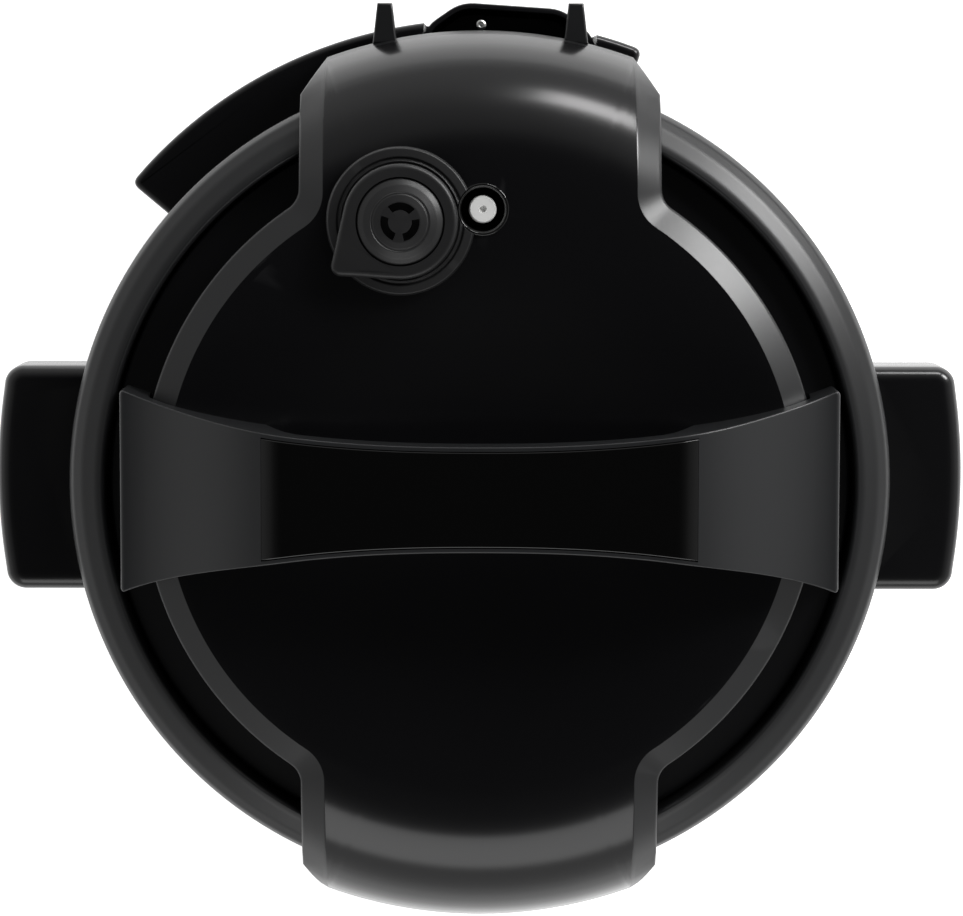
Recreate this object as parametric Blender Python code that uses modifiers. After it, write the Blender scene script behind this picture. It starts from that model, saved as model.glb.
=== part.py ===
"""Electric pressure cooker: lid with handle and steam valve, base with collar and controls, lift-out pot.

Sizes are in millimetres and MM turns them into metres. The front is -Y, the rear is +Y and the cooker's
upright axis stands at (0, AXIS_Y). Radii and heights are chained outwards and upwards from the inner pot.
"""

import math

import bmesh
import bpy

MM = 0.001
GAP = 0.3  # between pieces that touch
SHARP_ANGLE = 35  # degrees
WALL = 2.4  # moulded plastic
SHEET = 1.0  # drawn steel and aluminium
AROUND = 40  # segments of the large round pieces
AROUND_SMALL = 16

# Radii, chained outwards from the pot
POT_R = 112.5
LINER_IN_R = POT_R + 5.5
LINER_R = LINER_IN_R + SHEET
LOCK_R = POT_R + 10.7  # tips of the base's locking teeth
SKIRT_IN_R = LOCK_R + 1.8  # inside of the lid plate's skirt
LID_TOOTH_R = LOCK_R + 0.4
SKIRT_R = SKIRT_IN_R + 1.2
BRIM_R = SKIRT_R + 2.3  # lid cover's brim
COLLAR_IN_R = BRIM_R + 1.2
COLLAR_R = COLLAR_IN_R + 13.3
HOUSING_R = COLLAR_R - 4.0
LOBE_R = COLLAR_R + 14.0  # lid lobes reach over the collar
REAR_R = COLLAR_R + 18.0  # rear housing
REAR_REACH = REAR_R + 5.4  # fins and condensation cup
HANDLE_REACH = COLLAR_R + 27.0
AXIS_Y = (LOBE_R - REAR_REACH) / 2

# Heights, chained upwards from the floor
FOOT_HEIGHT = 8.0
ELECTRONICS_ROOM = 58.0
PLATE_THICK = 16.0
POT_HEIGHT = 158.7
SEAL_HEIGHT = 11.0
LINER_Z = FOOT_HEIGHT + ELECTRONICS_ROOM
PLATE_Z = LINER_Z + 6.0
POT_Z = PLATE_Z + PLATE_THICK + GAP
RIM_Z = POT_Z + POT_HEIGHT
LOCK_Z = RIM_Z - SHEET - GAP
LEDGE_Z = LOCK_Z - 8.0  # the collar's inner ledge
SEAL_Z = RIM_Z + GAP
LID_PLATE_Z = SEAL_Z + SEAL_HEIGHT + GAP
BRIM_Z = LID_PLATE_Z + SHEET + 5.5  # top of the brim
CREST_Z = LID_PLATE_Z + 26.1
COLLAR_Z = CREST_Z - 13.0
COLLAR_EDGE_Z = COLLAR_Z - 7.0
COLLAR_LOW_Z = COLLAR_EDGE_Z - 51.0
LOBE_RIM_Z = CREST_Z - 42.0
LOBE_LOW_Z = LOBE_RIM_Z - 7.0
REAR_TOP_Z = LOBE_LOW_Z - 4.0
REAR_LOW_Z = 40.0
PAN_TOP_Z = 52.0

# Lid cover
CREST_R = BRIM_R - 20.6  # where the chamfer band starts
BAND_R = BRIM_R - 12.2  # where it ends
BAND_DROP = 4.0
DISH_R = CREST_R - 3.0
DISH_DEPTH = 8.0
LOBE_HALF = 62.0
LOBE_TOP_HALF = 53.5
NECK_R = 8.0
LOBE_CORNER = 13.0
FOOT_WIDTHS = (20.0, 4.0)  # where the envelope's underside still follows the collar
FIN_X = 33.4
FIN_HALF = 2.6
FIN_ROOT_HALF = 4.2

# Lid handle
HANDLE_RISE = 32.0
HANDLE_END_RISE = 6.0
HANDLE_SLOPE = 62.0  # length over which each end climbs to the middle
HANDLE_THICK = 14.0
HANDLE_END_R = BRIM_R - 1.4
HANDLE_HALF = 17.8
HANDLE_END_HALF = 33.0
INSERT_HALF_LENGTH = 73.0
INSERT_INSET = 1.8
INSERT_THICK = 2.0
LID_SCREW_X = 96.0

# Steam valve, float valve and interlock, from the cooker's axis
VALVE = (-27.0, 92.0)
VALVE_BASE_R = 25.3
VALVE_LEVER_R = 19.6
VALVE_TIP = 30.0
VALVE_TIP_R = 4.2
VALVE_DOME_R = 14.8
VALVE_BASE_RISE = 4.0
VALVE_LEVER_RISE = 9.0
PIPE_R = 4.0
SHIELD_R = 8.0
FLOAT = (0.9, 95.9)
FLOAT_R = 4.75
FLOAT_STEM_R = 1.8
FLOAT_WELL_R = 8.0

# Base
HANDLE_SIDE_HALF = 39.6
HANDLE_SIDE_DROP = 17.0
HANDLE_SIDE_HEIGHT = 26.0
HANDLE_SIDE_ARC_R = 210.0
REAR_CENTRE = 14.65  # degrees from the rear towards -X
REAR_HALF = 35.45
CUP_ANGLE = -3.85
CUP_HALF = 30.0
CUP_TIP_HALF = 18.1
CUP_HEIGHT = 68.0
CUP_WALL = 1.8
INLET_Z = 84.0
INLET_HALF = 15.0
INLET_HALF_HEIGHT = 12.0
FOOT_R = 10.0
FOOT_CIRCLE_R = POT_R - 8.0
PLATE_R = POT_R - 8.5
SENSOR_R = 14.0
SENSOR_TRAVEL = 3.0

# Control panel
PANEL_HALF = 24.0  # degrees
PANEL_THICK = 3.0
PANEL_LOW_Z = 60.0
PANEL_TOP_Z = COLLAR_LOW_Z - 2.0
LENS_HALF = 24.0
LENS_HALF_HEIGHT = 20.0
LENS_BELOW_TOP = 40.0
BUTTON_HALF = 9.0
BUTTON_HALF_HEIGHT = 5.0
BUTTON_X = 40.0
BUTTON_STEP = 26.0
BUTTON_PROUD = 0.8

COLOURS = {
    "satin_black": ((0.012, 0.012, 0.013), 0.42, 0.0),
    "gloss_black": ((0.005, 0.005, 0.006), 0.08, 0.0),
    "grey_plastic": ((0.12, 0.12, 0.13), 0.5, 0.0),
    "steel": ((0.62, 0.61, 0.60), 0.28, 1.0),
    "aluminium": ((0.75, 0.75, 0.76), 0.35, 1.0),
    "silicone": ((0.75, 0.77, 0.78), 0.55, 0.0),
    "rubber": ((0.02, 0.02, 0.02), 0.8, 0.0),
    "lens": ((0.01, 0.012, 0.016), 0.03, 0.0),
    "board": ((0.02, 0.14, 0.06), 0.5, 0.0),
    "brass": ((0.72, 0.52, 0.25), 0.3, 1.0),
}


def clear_scene():
    for item in list(bpy.data.objects):
        bpy.data.objects.remove(item, do_unlink=True)


def make_collection(name):
    made = bpy.data.collections.new(name)
    bpy.context.scene.collection.children.link(made)
    return made


def make_materials():
    made = {}
    for name, (colour, roughness, metallic) in COLOURS.items():
        material = bpy.data.materials.new(name)
        material.use_nodes = True
        shader = material.node_tree.nodes["Principled BSDF"]
        shader.inputs["Base Color"].default_value = (*colour, 1.0)
        shader.inputs["Roughness"].default_value = roughness
        shader.inputs["Metallic"].default_value = metallic
        made[name] = material
    return made


clear_scene()
PARTS = make_collection("pressure_cooker")
CUTTERS = make_collection("cutters")
MATERIALS = make_materials()
AXIS = bpy.data.objects.new("cooker_axis", None)
AXIS.location = (0, AXIS_Y * MM, 0)
PARTS.objects.link(AXIS)


# ---------------------------------------------------------------- building helpers


def add_object(name, mesh, finish, at=(0, 0, 0), turn=0.0):
    """An object on the axis empty, at a place in mm and turned by degrees. No finish makes a cutter."""
    made = bpy.data.objects.new(name, mesh)
    made.location = [value * MM for value in at]
    made.rotation_euler.z = math.radians(turn)
    made.parent = AXIS
    if finish:
        PARTS.objects.link(made)
        mesh.materials.append(MATERIALS[finish])
        mesh.shade_smooth()
        mesh.set_sharp_from_angle(angle=math.radians(SHARP_ANGLE))
    else:
        CUTTERS.objects.link(made)
        made.hide_render = True
        made.display_type = "WIRE"
    return made


def turned(name, profile, finish, at=(0, 0), segments=AROUND):
    """A turned solid. Its (radius, height) profile runs down the outer side; an open one ends on the axis."""
    mesh = bpy.data.meshes.new(name)
    edges = [(i, i + 1) for i in range(len(profile) - 1)]
    if profile[0][0] > 0:
        edges.append((len(profile) - 1, 0))
    mesh.from_pydata([(r * MM, 0, z * MM) for r, z in profile], edges, [])
    made = add_object(name, mesh, finish, (*at, 0))
    screw = made.modifiers.new("Turn", "SCREW")
    screw.angle = 2 * math.pi
    screw.steps = segments
    screw.render_steps = segments
    screw.use_merge_vertices = True
    screw.merge_threshold = 0.00001
    return made


def tube(name, inner, outer, low, high, finish, at=(0, 0), segments=AROUND_SMALL):
    return turned(name, [(inner, high), (outer, high), (outer, low), (inner, low)], finish, at, segments)


def cylinder(name, radius, low, high, finish, at=(0, 0), segments=AROUND_SMALL):
    return turned(name, [(0, high), (radius, high), (radius, low), (0, low)], finish, at, segments)


def prism(name, outline, low, high, finish, at=(0, 0), turn=0.0):
    """A flat outline in plan, extruded from low to high."""
    curve = bpy.data.curves.new(name, "CURVE")
    curve.dimensions = "2D"
    curve.fill_mode = "BOTH"
    curve.extrude = (high - low) / 2 * MM
    spline = curve.splines.new("POLY")
    spline.points.add(len(outline) - 1)
    for point, (x, y) in zip(spline.points, outline):
        point.co = (x * MM, y * MM, 0, 1)
    spline.use_cyclic_u = True
    holder = bpy.data.objects.new(name + "_outline", curve)
    CUTTERS.objects.link(holder)
    mesh = bpy.data.meshes.new_from_object(holder.evaluated_get(bpy.context.evaluated_depsgraph_get()))
    bpy.data.objects.remove(holder)
    weld(mesh)
    return add_object(name, mesh, finish, (*at, (low + high) / 2), turn)


def weld(mesh):
    work = bmesh.new()
    work.from_mesh(mesh)
    bmesh.ops.remove_doubles(work, verts=work.verts, dist=0.000001)
    bmesh.ops.recalc_face_normals(work, faces=work.faces)
    work.to_mesh(mesh)
    work.free()


def box(name, low, high, finish, turn=0.0):
    """A box between two corners in mm, turned about the cooker's axis."""
    work = bmesh.new()
    bmesh.ops.create_cube(work, size=1.0)
    size = [b - a for a, b in zip(low, high)]
    middle = [(a + b) / 2 for a, b in zip(low, high)]
    bmesh.ops.scale(work, vec=[value * MM for value in size], verts=work.verts)
    bmesh.ops.translate(work, vec=[value * MM for value in middle], verts=work.verts)
    mesh = bpy.data.meshes.new(name)
    work.to_mesh(mesh)
    work.free()
    return add_object(name, mesh, finish, (0, 0, 0), turn)


def combine(target, other, operation, solver="EXACT"):
    """Adds a Boolean of the other object to the target and hides the other among the cutters."""
    step = target.modifiers.new(operation.title(), "BOOLEAN")
    step.operation = operation
    step.solver = solver
    step.object = other
    other.hide_render = True
    other.display_type = "WIRE"
    return target


def round_edges(target, width, segments=2, limit=40):
    step = target.modifiers.new("Bevel", "BEVEL")
    step.width = width * MM
    step.segments = segments
    step.limit_method = "ANGLE"
    step.angle_limit = math.radians(limit)
    return target


def arc(centre, radius, start, end, count):
    """Points on an arc, its angles in degrees counted from +X."""
    found = []
    for i in range(count + 1):
        angle = math.radians(start + (end - start) * i / count)
        found.append((centre[0] + radius * math.cos(angle), centre[1] + radius * math.sin(angle)))
    return found


def rounded_rectangle(half_x, half_y, radius, count=4):
    found = []
    corners = ((1, 1, 0), (-1, 1, 90), (-1, -1, 180), (1, -1, 270))
    for side_x, side_y, start in corners:
        centre = (side_x * (half_x - radius), side_y * (half_y - radius))
        found += arc(centre, radius, start, start + 90, count)
    return found


def smooth(value):
    value = min(max(value, 0.0), 1.0)
    return value * value * (3 - 2 * value)


def polar(radius, degrees_from_rear):
    """A point at an angle counted from the rear (+Y) towards -X."""
    angle = math.radians(degrees_from_rear)
    return (-radius * math.sin(angle), radius * math.cos(angle))


# ---------------------------------------------------------------- lid cover surface


SHOULDER = (
    (CREST_R, CREST_Z),
    (CREST_R + 12, CREST_Z - 1.0),
    (BRIM_R, CREST_Z - 3.7),
    (COLLAR_R - 7, CREST_Z - 7.4),
    (COLLAR_R, CREST_Z - 12.8),
    (COLLAR_R + 6, CREST_Z - 19.5),
    (LOBE_R - 3.5, CREST_Z - 29.0),
    (LOBE_R, LOBE_RIM_Z),
)
LOBE_FOOT = ((BAND_R + 1, BRIM_Z - 2), (BRIM_R - 3, COLLAR_Z + 2), (COLLAR_IN_R, COLLAR_Z + 2),
             (COLLAR_R - 1, COLLAR_EDGE_Z + 3), (COLLAR_R + 2.2, COLLAR_EDGE_Z + 1.4),
             (COLLAR_R + 4.6, LOBE_LOW_Z))


def along(table, value):
    """The height at a radius on a list of (radius, height) corners."""
    if value <= table[0][0]:
        return table[0][1]
    for (r0, z0), (r1, z1) in zip(table, table[1:]):
        if value <= r1:
            return z0 + (z1 - z0) * (value - r0) / (r1 - r0)
    return table[-1][1]


def offset_profile(table, distance):
    """The profile's corners moved outwards along their normals."""
    moved = []
    for i, (r, z) in enumerate(table):
        before, after = table[max(i - 1, 0)], table[min(i + 1, len(table) - 1)]
        slope = math.atan2(before[1] - after[1], after[0] - before[0])
        moved.append((r + distance * math.sin(slope), z + distance * math.cos(slope)))
    return moved


def lid_top(radius, shoulder, offset):
    """Height of the lid's upper surface: a shallow dish, its crest and the shoulder of the lobes."""
    if radius < DISH_R:
        return CREST_Z + offset - DISH_DEPTH * math.cos(math.pi * radius / (2 * DISH_R)) ** 2
    return along(shoulder, radius)


def quarter_outline(circle_r, side_x, neck_r, rim_r, corner):
    """A quarter of the lid's plan, from +X to +Y: body, neck fillet, lobe side, cut corner and rim."""
    neck_y = math.sqrt((circle_r + neck_r) ** 2 - (side_x + neck_r) ** 2)
    neck_angle = math.degrees(math.atan2(neck_y, side_x + neck_r))
    rim_x = min(side_x, LOBE_TOP_HALF)
    rim_y = math.sqrt(rim_r**2 - rim_x**2)
    side_end = rim_y - corner
    body = arc((0, 0), circle_r, 0, neck_angle, 7)[:-1]
    neck = arc((side_x + neck_r, neck_y), neck_r, neck_angle + 180, 180, 3)[:-1]
    clear_y = math.sqrt((COLLAR_R + 2.1) ** 2 - side_x**2)
    side = [(side_x, neck_y), (side_x, (neck_y + clear_y) / 2), (side_x, clear_y)]
    cut = [(side_x + (rim_x - side_x) * i / 2, side_end + (rim_y - side_end) * i / 2) for i in range(2)]
    rim = arc((0, 0), rim_r, math.degrees(math.atan2(rim_y, rim_x)), 90, 5)
    return body + neck + side + cut + rim


def full_outline(quarter):
    """The quarter's points mirrored into all four quarters, in order."""
    left = [(-x, y) for x, y in reversed(quarter[:-1])]
    upper = quarter + left
    lower = [(x, -y) for x, y in reversed(upper[1:-1])]
    return upper + lower


def lid_envelope(name, finish, offset=0.0, deeper=0.0):
    """The lid cover's outer form as a closed solid, moved out by offset and carried down by deeper."""
    edge = full_outline(quarter_outline(BAND_R + offset, LOBE_HALF + offset, NECK_R - offset,
                                        LOBE_R + offset, LOBE_CORNER))
    shoulder = full_outline(quarter_outline(CREST_R + offset, LOBE_TOP_HALF + offset, NECK_R + 6 - offset,
                                            LOBE_R - 1.2 + offset, LOBE_CORNER / 2))
    profile = offset_profile(SHOULDER, offset)
    work = bmesh.new()

    def ring(points, height_of):
        return [work.verts.new((x * MM, y * MM, height_of(math.hypot(x, y)) * MM)) for x, y in points]

    def edge_height(radius):
        drop = BAND_DROP * (1 - smooth((radius - COLLAR_R) / (LOBE_R - COLLAR_R)))
        return lid_top(radius, profile, offset) - drop

    def top_height(radius):
        return lid_top(radius, profile, offset)

    def foot_height(radius):
        return along(LOBE_FOOT, radius - offset) - deeper

    rings = []
    for width in FOOT_WIDTHS:
        inside = []
        for x, y in edge:
            factor = 1 - width / math.hypot(x, y)
            inside.append((x * factor, y * factor))
        rings.append(ring(inside, foot_height))
    rings += [ring(edge, foot_height), ring(edge, edge_height)]
    for share in (0.0, 0.12, 0.26, 0.5, 1.0):
        scaled = []
        for x, y in shoulder:
            radius = math.hypot(x, y)
            factor = 1 + share * (DISH_R / radius - 1)
            scaled.append((x * factor, y * factor))
        rings.append(ring(scaled, top_height))
    for share in (0.6,):
        circle = [(x * share, y * share) for x, y in scaled]
        rings.append(ring(circle, top_height))
    for lower, upper in zip(rings, rings[1:]):
        for i, point in enumerate(lower):
            after = (i + 1) % len(lower)
            work.faces.new((point, lower[after], upper[after], upper[i]))
    peak = work.verts.new((0, 0, top_height(0) * MM))
    base = work.verts.new((0, 0, (LOBE_LOW_Z - deeper - 3) * MM))
    for i in range(len(edge)):
        after = (i + 1) % len(edge)
        work.faces.new((rings[-1][i], rings[-1][after], peak))
        work.faces.new((rings[0][after], rings[0][i], base))
    bmesh.ops.recalc_face_normals(work, faces=work.faces)
    mesh = bpy.data.meshes.new(name)
    work.to_mesh(mesh)
    work.free()
    return add_object(name, mesh, finish)


# ---------------------------------------------------------------- lid


def make_lid_cover():
    """The cover's cuts run close to its own faces, where the EXACT solver leaves slivers."""
    cover = lid_envelope("lid_cover", "satin_black")
    combine(cover, lid_envelope("cover_inside", None, -WALL, 10.0), "DIFFERENCE", "MANIFOLD")
    over_collar = turned("collar_sweep", [
        (COLLAR_IN_R - 0.6, COLLAR_Z + 1), (COLLAR_IN_R + 1.4, COLLAR_Z + 1),
        (COLLAR_R - 2.4, COLLAR_EDGE_Z + 3.2),
        (COLLAR_R + 1.2, COLLAR_EDGE_Z - 0.4), (COLLAR_R + 1.2, LOBE_LOW_Z - 20),
        (COLLAR_IN_R - 0.6, LOBE_LOW_Z - 20),
    ], None)
    combine(cover, over_collar, "DIFFERENCE", "MANIFOLD")
    brim = turned("cover_brim", [
        (BAND_R - WALL / 2, BRIM_Z), (BRIM_R, BRIM_Z - 1.2), (BRIM_R, LID_PLATE_Z - 4),
        (SKIRT_R + 0.8, LID_PLATE_Z - 4), (SKIRT_R + 0.8, BRIM_Z - 3.6), (BAND_R - WALL / 2, BRIM_Z - 3.6),
    ], None)
    combine(cover, brim, "UNION", "MANIFOLD")
    fin_root = math.sqrt(LOBE_R**2 - FIN_X**2) - WALL * 0.6
    for side in (-1, 1):
        x = side * FIN_X
        fin_outline = [(x - FIN_ROOT_HALF, fin_root), (x + FIN_ROOT_HALF, fin_root),
                       (x + FIN_HALF, REAR_REACH), (x - FIN_HALF, REAR_REACH)]
        fin = prism(f"fin_{side}", fin_outline, LOBE_LOW_Z + 2, LOBE_RIM_Z + 2, None)
        combine(cover, fin, "UNION", "MANIFOLD")
    combine(cover, cylinder("pipe_hole", PIPE_R + 0.5, LID_PLATE_Z, CREST_Z + 20, None, VALVE),
            "DIFFERENCE", "MANIFOLD")
    combine(cover, cylinder("float_well", FLOAT_WELL_R, LID_PLATE_Z, CREST_Z + 20, None, FLOAT),
            "DIFFERENCE", "MANIFOLD")
    for side in (-1, 1):
        hole = cylinder(f"screw_hole_{side}", 2.3, LID_PLATE_Z, CREST_Z + 5, None, (side * LID_SCREW_X, 0))
        combine(cover, hole, "DIFFERENCE", "MANIFOLD")
    return cover


def handle_top(x):
    share = smooth((HANDLE_END_R - abs(x)) / HANDLE_SLOPE)
    return CREST_Z + HANDLE_END_RISE + (HANDLE_RISE - HANDLE_END_RISE) * share


def handle_half(x):
    return HANDLE_HALF + (HANDLE_END_HALF - HANDLE_HALF) * (abs(x) / (HANDLE_END_R - 6)) ** 2.4


def lofted_bar(name, stations, finish):
    """A bar along X through (x, half width, low, high) stations."""
    work = bmesh.new()
    sections = []
    for x, half, low, high in stations:
        corners = ((-half, low), (half, low), (half, high), (-half, high))
        sections.append([work.verts.new((x * MM, y * MM, z * MM)) for y, z in corners])
    for before, after in zip(sections, sections[1:]):
        for i in range(4):
            work.faces.new((before[i], before[i - 1], after[i - 1], after[i]))
    work.faces.new(sections[0])
    work.faces.new(sections[-1])
    bmesh.ops.recalc_face_normals(work, faces=work.faces)
    mesh = bpy.data.meshes.new(name)
    work.to_mesh(mesh)
    work.free()
    return add_object(name, mesh, finish)


def span(half_length, count):
    return [-half_length + 2 * half_length * i / count for i in range(count + 1)]


def make_lid_handle():
    underside = CREST_Z + HANDLE_RISE - HANDLE_THICK
    foot = BRIM_Z + GAP
    stations = []
    for x in span(HANDLE_END_R + 1, 30):
        low = underside + (foot - underside) * smooth((abs(x) - 62) / 22)
        stations.append((x, handle_half(x), low, handle_top(x)))
    handle = lofted_bar("lid_handle", stations, "satin_black")
    round_edges(handle, 2.4, 1)
    combine(handle, cylinder("handle_ends", HANDLE_END_R, 0, CREST_Z + 60, None, segments=AROUND),
            "INTERSECT")
    combine(handle, lid_envelope("handle_seat", None, GAP, 60.0), "DIFFERENCE")
    combine(handle, insert_bar("insert_pocket", None, GAP, 6.0), "DIFFERENCE")
    for side in (-1, 1):
        hole = cylinder(f"handle_screw_hole_{side}", 1.9, 0, CREST_Z, None, (side * LID_SCREW_X, 0), 16)
        combine(handle, hole, "DIFFERENCE")


def insert_bar(name, finish, margin=0.0, above=0.0):
    stations = []
    for x in span(INSERT_HALF_LENGTH + margin, 20):
        top = handle_top(x)
        stations.append((x, handle_half(x) - INSERT_INSET + margin, top - INSERT_THICK - margin,
        top + above))
    return lofted_bar(name, stations, finish)


def make_lid_screws():
    for side, word in ((-1, "left"), (1, "right")):
        profile = [(0, CREST_Z - 2), (1.5, CREST_Z - 2), (1.5, LID_PLATE_Z + 5.5), (3.6, LID_PLATE_Z + 5.5),
                   (3.6, LID_PLATE_Z + 3), (0, LID_PLATE_Z + 3)]
        turned(f"lid_screw_{word}", profile, "steel", (side * LID_SCREW_X, 0), 12)


def make_lid_plate():
    low, high = LID_PLATE_Z, LID_PLATE_Z + SHEET
    skirt_low = LOCK_Z - 5.5
    plate = turned("lid_plate", [
        (0, high), (SKIRT_R - 1, high), (SKIRT_R, high - 1), (SKIRT_R, skirt_low), (LID_TOOTH_R, skirt_low),
        (LID_TOOTH_R, skirt_low + 1.2), (SKIRT_IN_R, skirt_low + 1.2), (SKIRT_IN_R, low), (0, low),
    ], "steel")
    for k in range(6):
        gap_angle = 60 * k + 30
        gap = arc((0, 0), SKIRT_IN_R - 0.15, gap_angle - 16, gap_angle + 16, 10)
        gap += arc((0, 0), LOCK_R - 2, gap_angle + 16, gap_angle - 16, 10)
        combine(plate, prism(f"tooth_gap_{k}", gap, skirt_low - 1, skirt_low + 3, None), "DIFFERENCE")
    combine(plate, cylinder("plate_pipe_hole", PIPE_R + GAP, low - 2, high + 2, None, VALVE), "DIFFERENCE")
    combine(plate, cylinder("plate_float_hole", FLOAT_STEM_R + 1.6, low - 2, high + 2, None, FLOAT),
            "DIFFERENCE")
    return plate


def make_seal():
    low, high = SEAL_Z, SEAL_Z + SEAL_HEIGHT
    inner, outer = POT_R - 4.5, POT_R + 8.0
    turned("sealing_ring", [
        (inner, high), (outer, high), (outer, high - 3), (outer - 5, high - 4), (outer - 5, low + 3.4),
        (outer - 1, low + 2.2), (outer - 1, low), (inner, low + 2),
    ], "silicone")
    rack = inner - 1.9
    turned("sealing_ring_rack", [(rack - 1.2, high - 2), (rack + 1.2, high - 2), (rack + 1.2, low + 2.5),
                                 (rack - 1.2, low + 2.5)], "steel")


def make_steam_pipe():
    top = CREST_Z + VALVE_BASE_RISE - 1.0
    low = SEAL_Z + 3.5
    plate = LID_PLATE_Z
    turned("steam_pipe", [
        (1.4, top), (2.6, top), (PIPE_R, top - 3), (PIPE_R, plate - GAP), (7.2, plate - GAP),
        (7.2, plate - 2.6),
        (PIPE_R, plate - 2.6), (PIPE_R, low), (1.4, low),
    ], "steel", VALVE, AROUND_SMALL)
    inside = SHIELD_R - SHEET
    floor = SEAL_Z - 7
    turned("anti_block_shield", [(0, floor + SHEET), (inside, floor + SHEET), (inside, plate - 3),
        (SHIELD_R, plate - 3),
                                 (SHIELD_R, floor), (0, floor)], "steel", VALVE, AROUND_SMALL)


def make_float_valve():
    top = CREST_Z - 1.5
    low = SEAL_Z + 1.0
    turned("float_valve", [
        (0, top), (FLOAT_R - 0.6, top), (FLOAT_R, top - 0.8), (FLOAT_R, top - 3.2),
        (FLOAT_STEM_R, top - 3.2),
        (FLOAT_STEM_R, low), (0, low),
    ], "aluminium", FLOAT, AROUND_SMALL)
    tube("float_gasket", FLOAT_STEM_R + GAP, 5.2, LID_PLATE_Z - 3.2, LID_PLATE_Z - GAP, "silicone", FLOAT)


def make_interlock():
    low = LID_PLATE_Z + SHEET + GAP
    inner = FLOAT[1] + FLOAT_STEM_R + 4.5
    box("interlock_slider", (FLOAT[0] - 4, inner, low), (FLOAT[0] + 4, inner + 9, low + 2.0), "steel")


def lever_outline(radius, tip_distance, tip_radius, angle):
    """A circle drawn out to a small round tip, in the direction of the angle in degrees."""
    spread = math.degrees(math.acos((radius - tip_radius) / tip_distance))
    tip = (tip_distance * math.cos(math.radians(angle)), tip_distance * math.sin(math.radians(angle)))
    return arc((0, 0), radius, angle + spread, angle + 360 - spread, 20) + arc(
        tip, tip_radius, angle - spread, angle + spread, 5)


def make_valve():
    seat = CREST_Z + VALVE_BASE_RISE
    base = turned("valve_base", [
        (PIPE_R + GAP, seat - 2), (VALVE_LEVER_R, seat - 2), (VALVE_LEVER_R + 1.5, seat),
        (VALVE_BASE_R - 1, seat),
        (VALVE_BASE_R, seat - 1), (VALVE_BASE_R, BRIM_Z + 4), (PIPE_R + GAP, BRIM_Z + 4),
    ], "satin_black", VALVE, 32)
    combine(base, lid_envelope("valve_seat_cut", None, GAP, 60.0), "DIFFERENCE")
    notch = cylinder("float_notch", FLOAT_WELL_R + 0.6, CREST_Z - 20, CREST_Z + 20, None, FLOAT)
    combine(base, notch, "DIFFERENCE")
    low, top = seat + GAP, CREST_Z + VALVE_LEVER_RISE
    outline = lever_outline(VALVE_LEVER_R, VALVE_TIP - VALVE_TIP_R, VALVE_TIP_R, 217)
    lever = prism("valve_handle", outline, low, top, "satin_black", VALVE)
    round_edges(lever, 1.2)
    combine(lever, cylinder("dome_well", VALVE_DOME_R + GAP, top - 3.5, top + 5, None, VALVE), "DIFFERENCE")
    combine(lever, cylinder("lever_bore", PIPE_R + GAP, low - 5, top - 3, None, VALVE), "DIFFERENCE")
    rise = top + 3.0
    dome = turned("valve_diffuser", [(0, rise), (6, rise - 0.3), (10, rise - 1.1), (13, rise - 2.4),
                                     (VALVE_DOME_R, top - 0.5), (VALVE_DOME_R, top - 3.2), (0, top - 3.2)],
                  "satin_black", VALVE, 28)
    for k in range(3):
        middle = 85 + 120 * k
        slot = arc((0, 0), 6.6, middle - 44, middle + 44, 8) + arc((0, 0), 4.0, middle + 44, middle - 44, 8)
        combine(dome, prism(f"steam_slot_{k}", slot, top - 1.5, rise + 2, None, VALVE), "DIFFERENCE")


# ---------------------------------------------------------------- base


def make_collar():
    """The collar, and the drip ledge inside it that the locking ring stands on."""
    low = COLLAR_LOW_Z
    ledge = LEDGE_Z
    turned("top_collar", [
        (COLLAR_IN_R + 1, COLLAR_Z), (COLLAR_R - 3, COLLAR_EDGE_Z + 2.4),
        (COLLAR_R - 0.8, COLLAR_EDGE_Z + 0.8),
        (COLLAR_R, COLLAR_EDGE_Z - 1), (COLLAR_R + 0.3, low), (HOUSING_R + GAP, low),
        (HOUSING_R + GAP, COLLAR_EDGE_Z - 4), (COLLAR_IN_R + WALL, COLLAR_Z - 7),
        (COLLAR_IN_R + WALL, ledge + GAP),
        (COLLAR_IN_R, ledge + GAP), (COLLAR_IN_R, COLLAR_Z - 1),
    ], "satin_black")
    tube("collar_ledge", LINER_IN_R + 3, COLLAR_IN_R + WALL, ledge - 3, ledge, "satin_black",
        segments=AROUND)


def make_locking_ring():
    low = LEDGE_Z + GAP
    inner = LINER_IN_R + 3.2
    ring = turned("locking_ring", [
        (inner, LOCK_Z), (LOCK_R, LOCK_Z), (LOCK_R, LOCK_Z - 1.6), (inner + 1.2, LOCK_Z - 1.6),
        (inner + 1.2, low),
        (inner, low),
    ], "aluminium")
    for k in range(6):
        middle = 60 * k
        gap = arc((0, 0), LOCK_R + 2, middle - 16, middle + 16, 8)
        gap += arc((0, 0), inner + 1.6, middle + 16, middle - 16, 8)
        combine(ring, prism(f"lock_gap_{k}", gap, LOCK_Z - 3, LOCK_Z + 3, None), "DIFFERENCE")


def make_pot():
    inner = POT_R - SHEET
    rim_r = LINER_IN_R + 3.4
    turned("inner_pot", [
        (0, POT_Z + SHEET), (POT_R - 9.4, POT_Z + SHEET), (inner - 2.8, POT_Z + 3.6), (inner, POT_Z + 9.2),
        (inner, RIM_Z - SHEET), (inner + 1, RIM_Z), (rim_r, RIM_Z), (rim_r, RIM_Z - SHEET),
        (POT_R + 1, RIM_Z - SHEET),
        (POT_R, RIM_Z - 2.5), (POT_R, POT_Z + 9), (POT_R - 3, POT_Z + 3), (POT_R - 9, POT_Z), (0, POT_Z),
    ], "steel")


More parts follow.
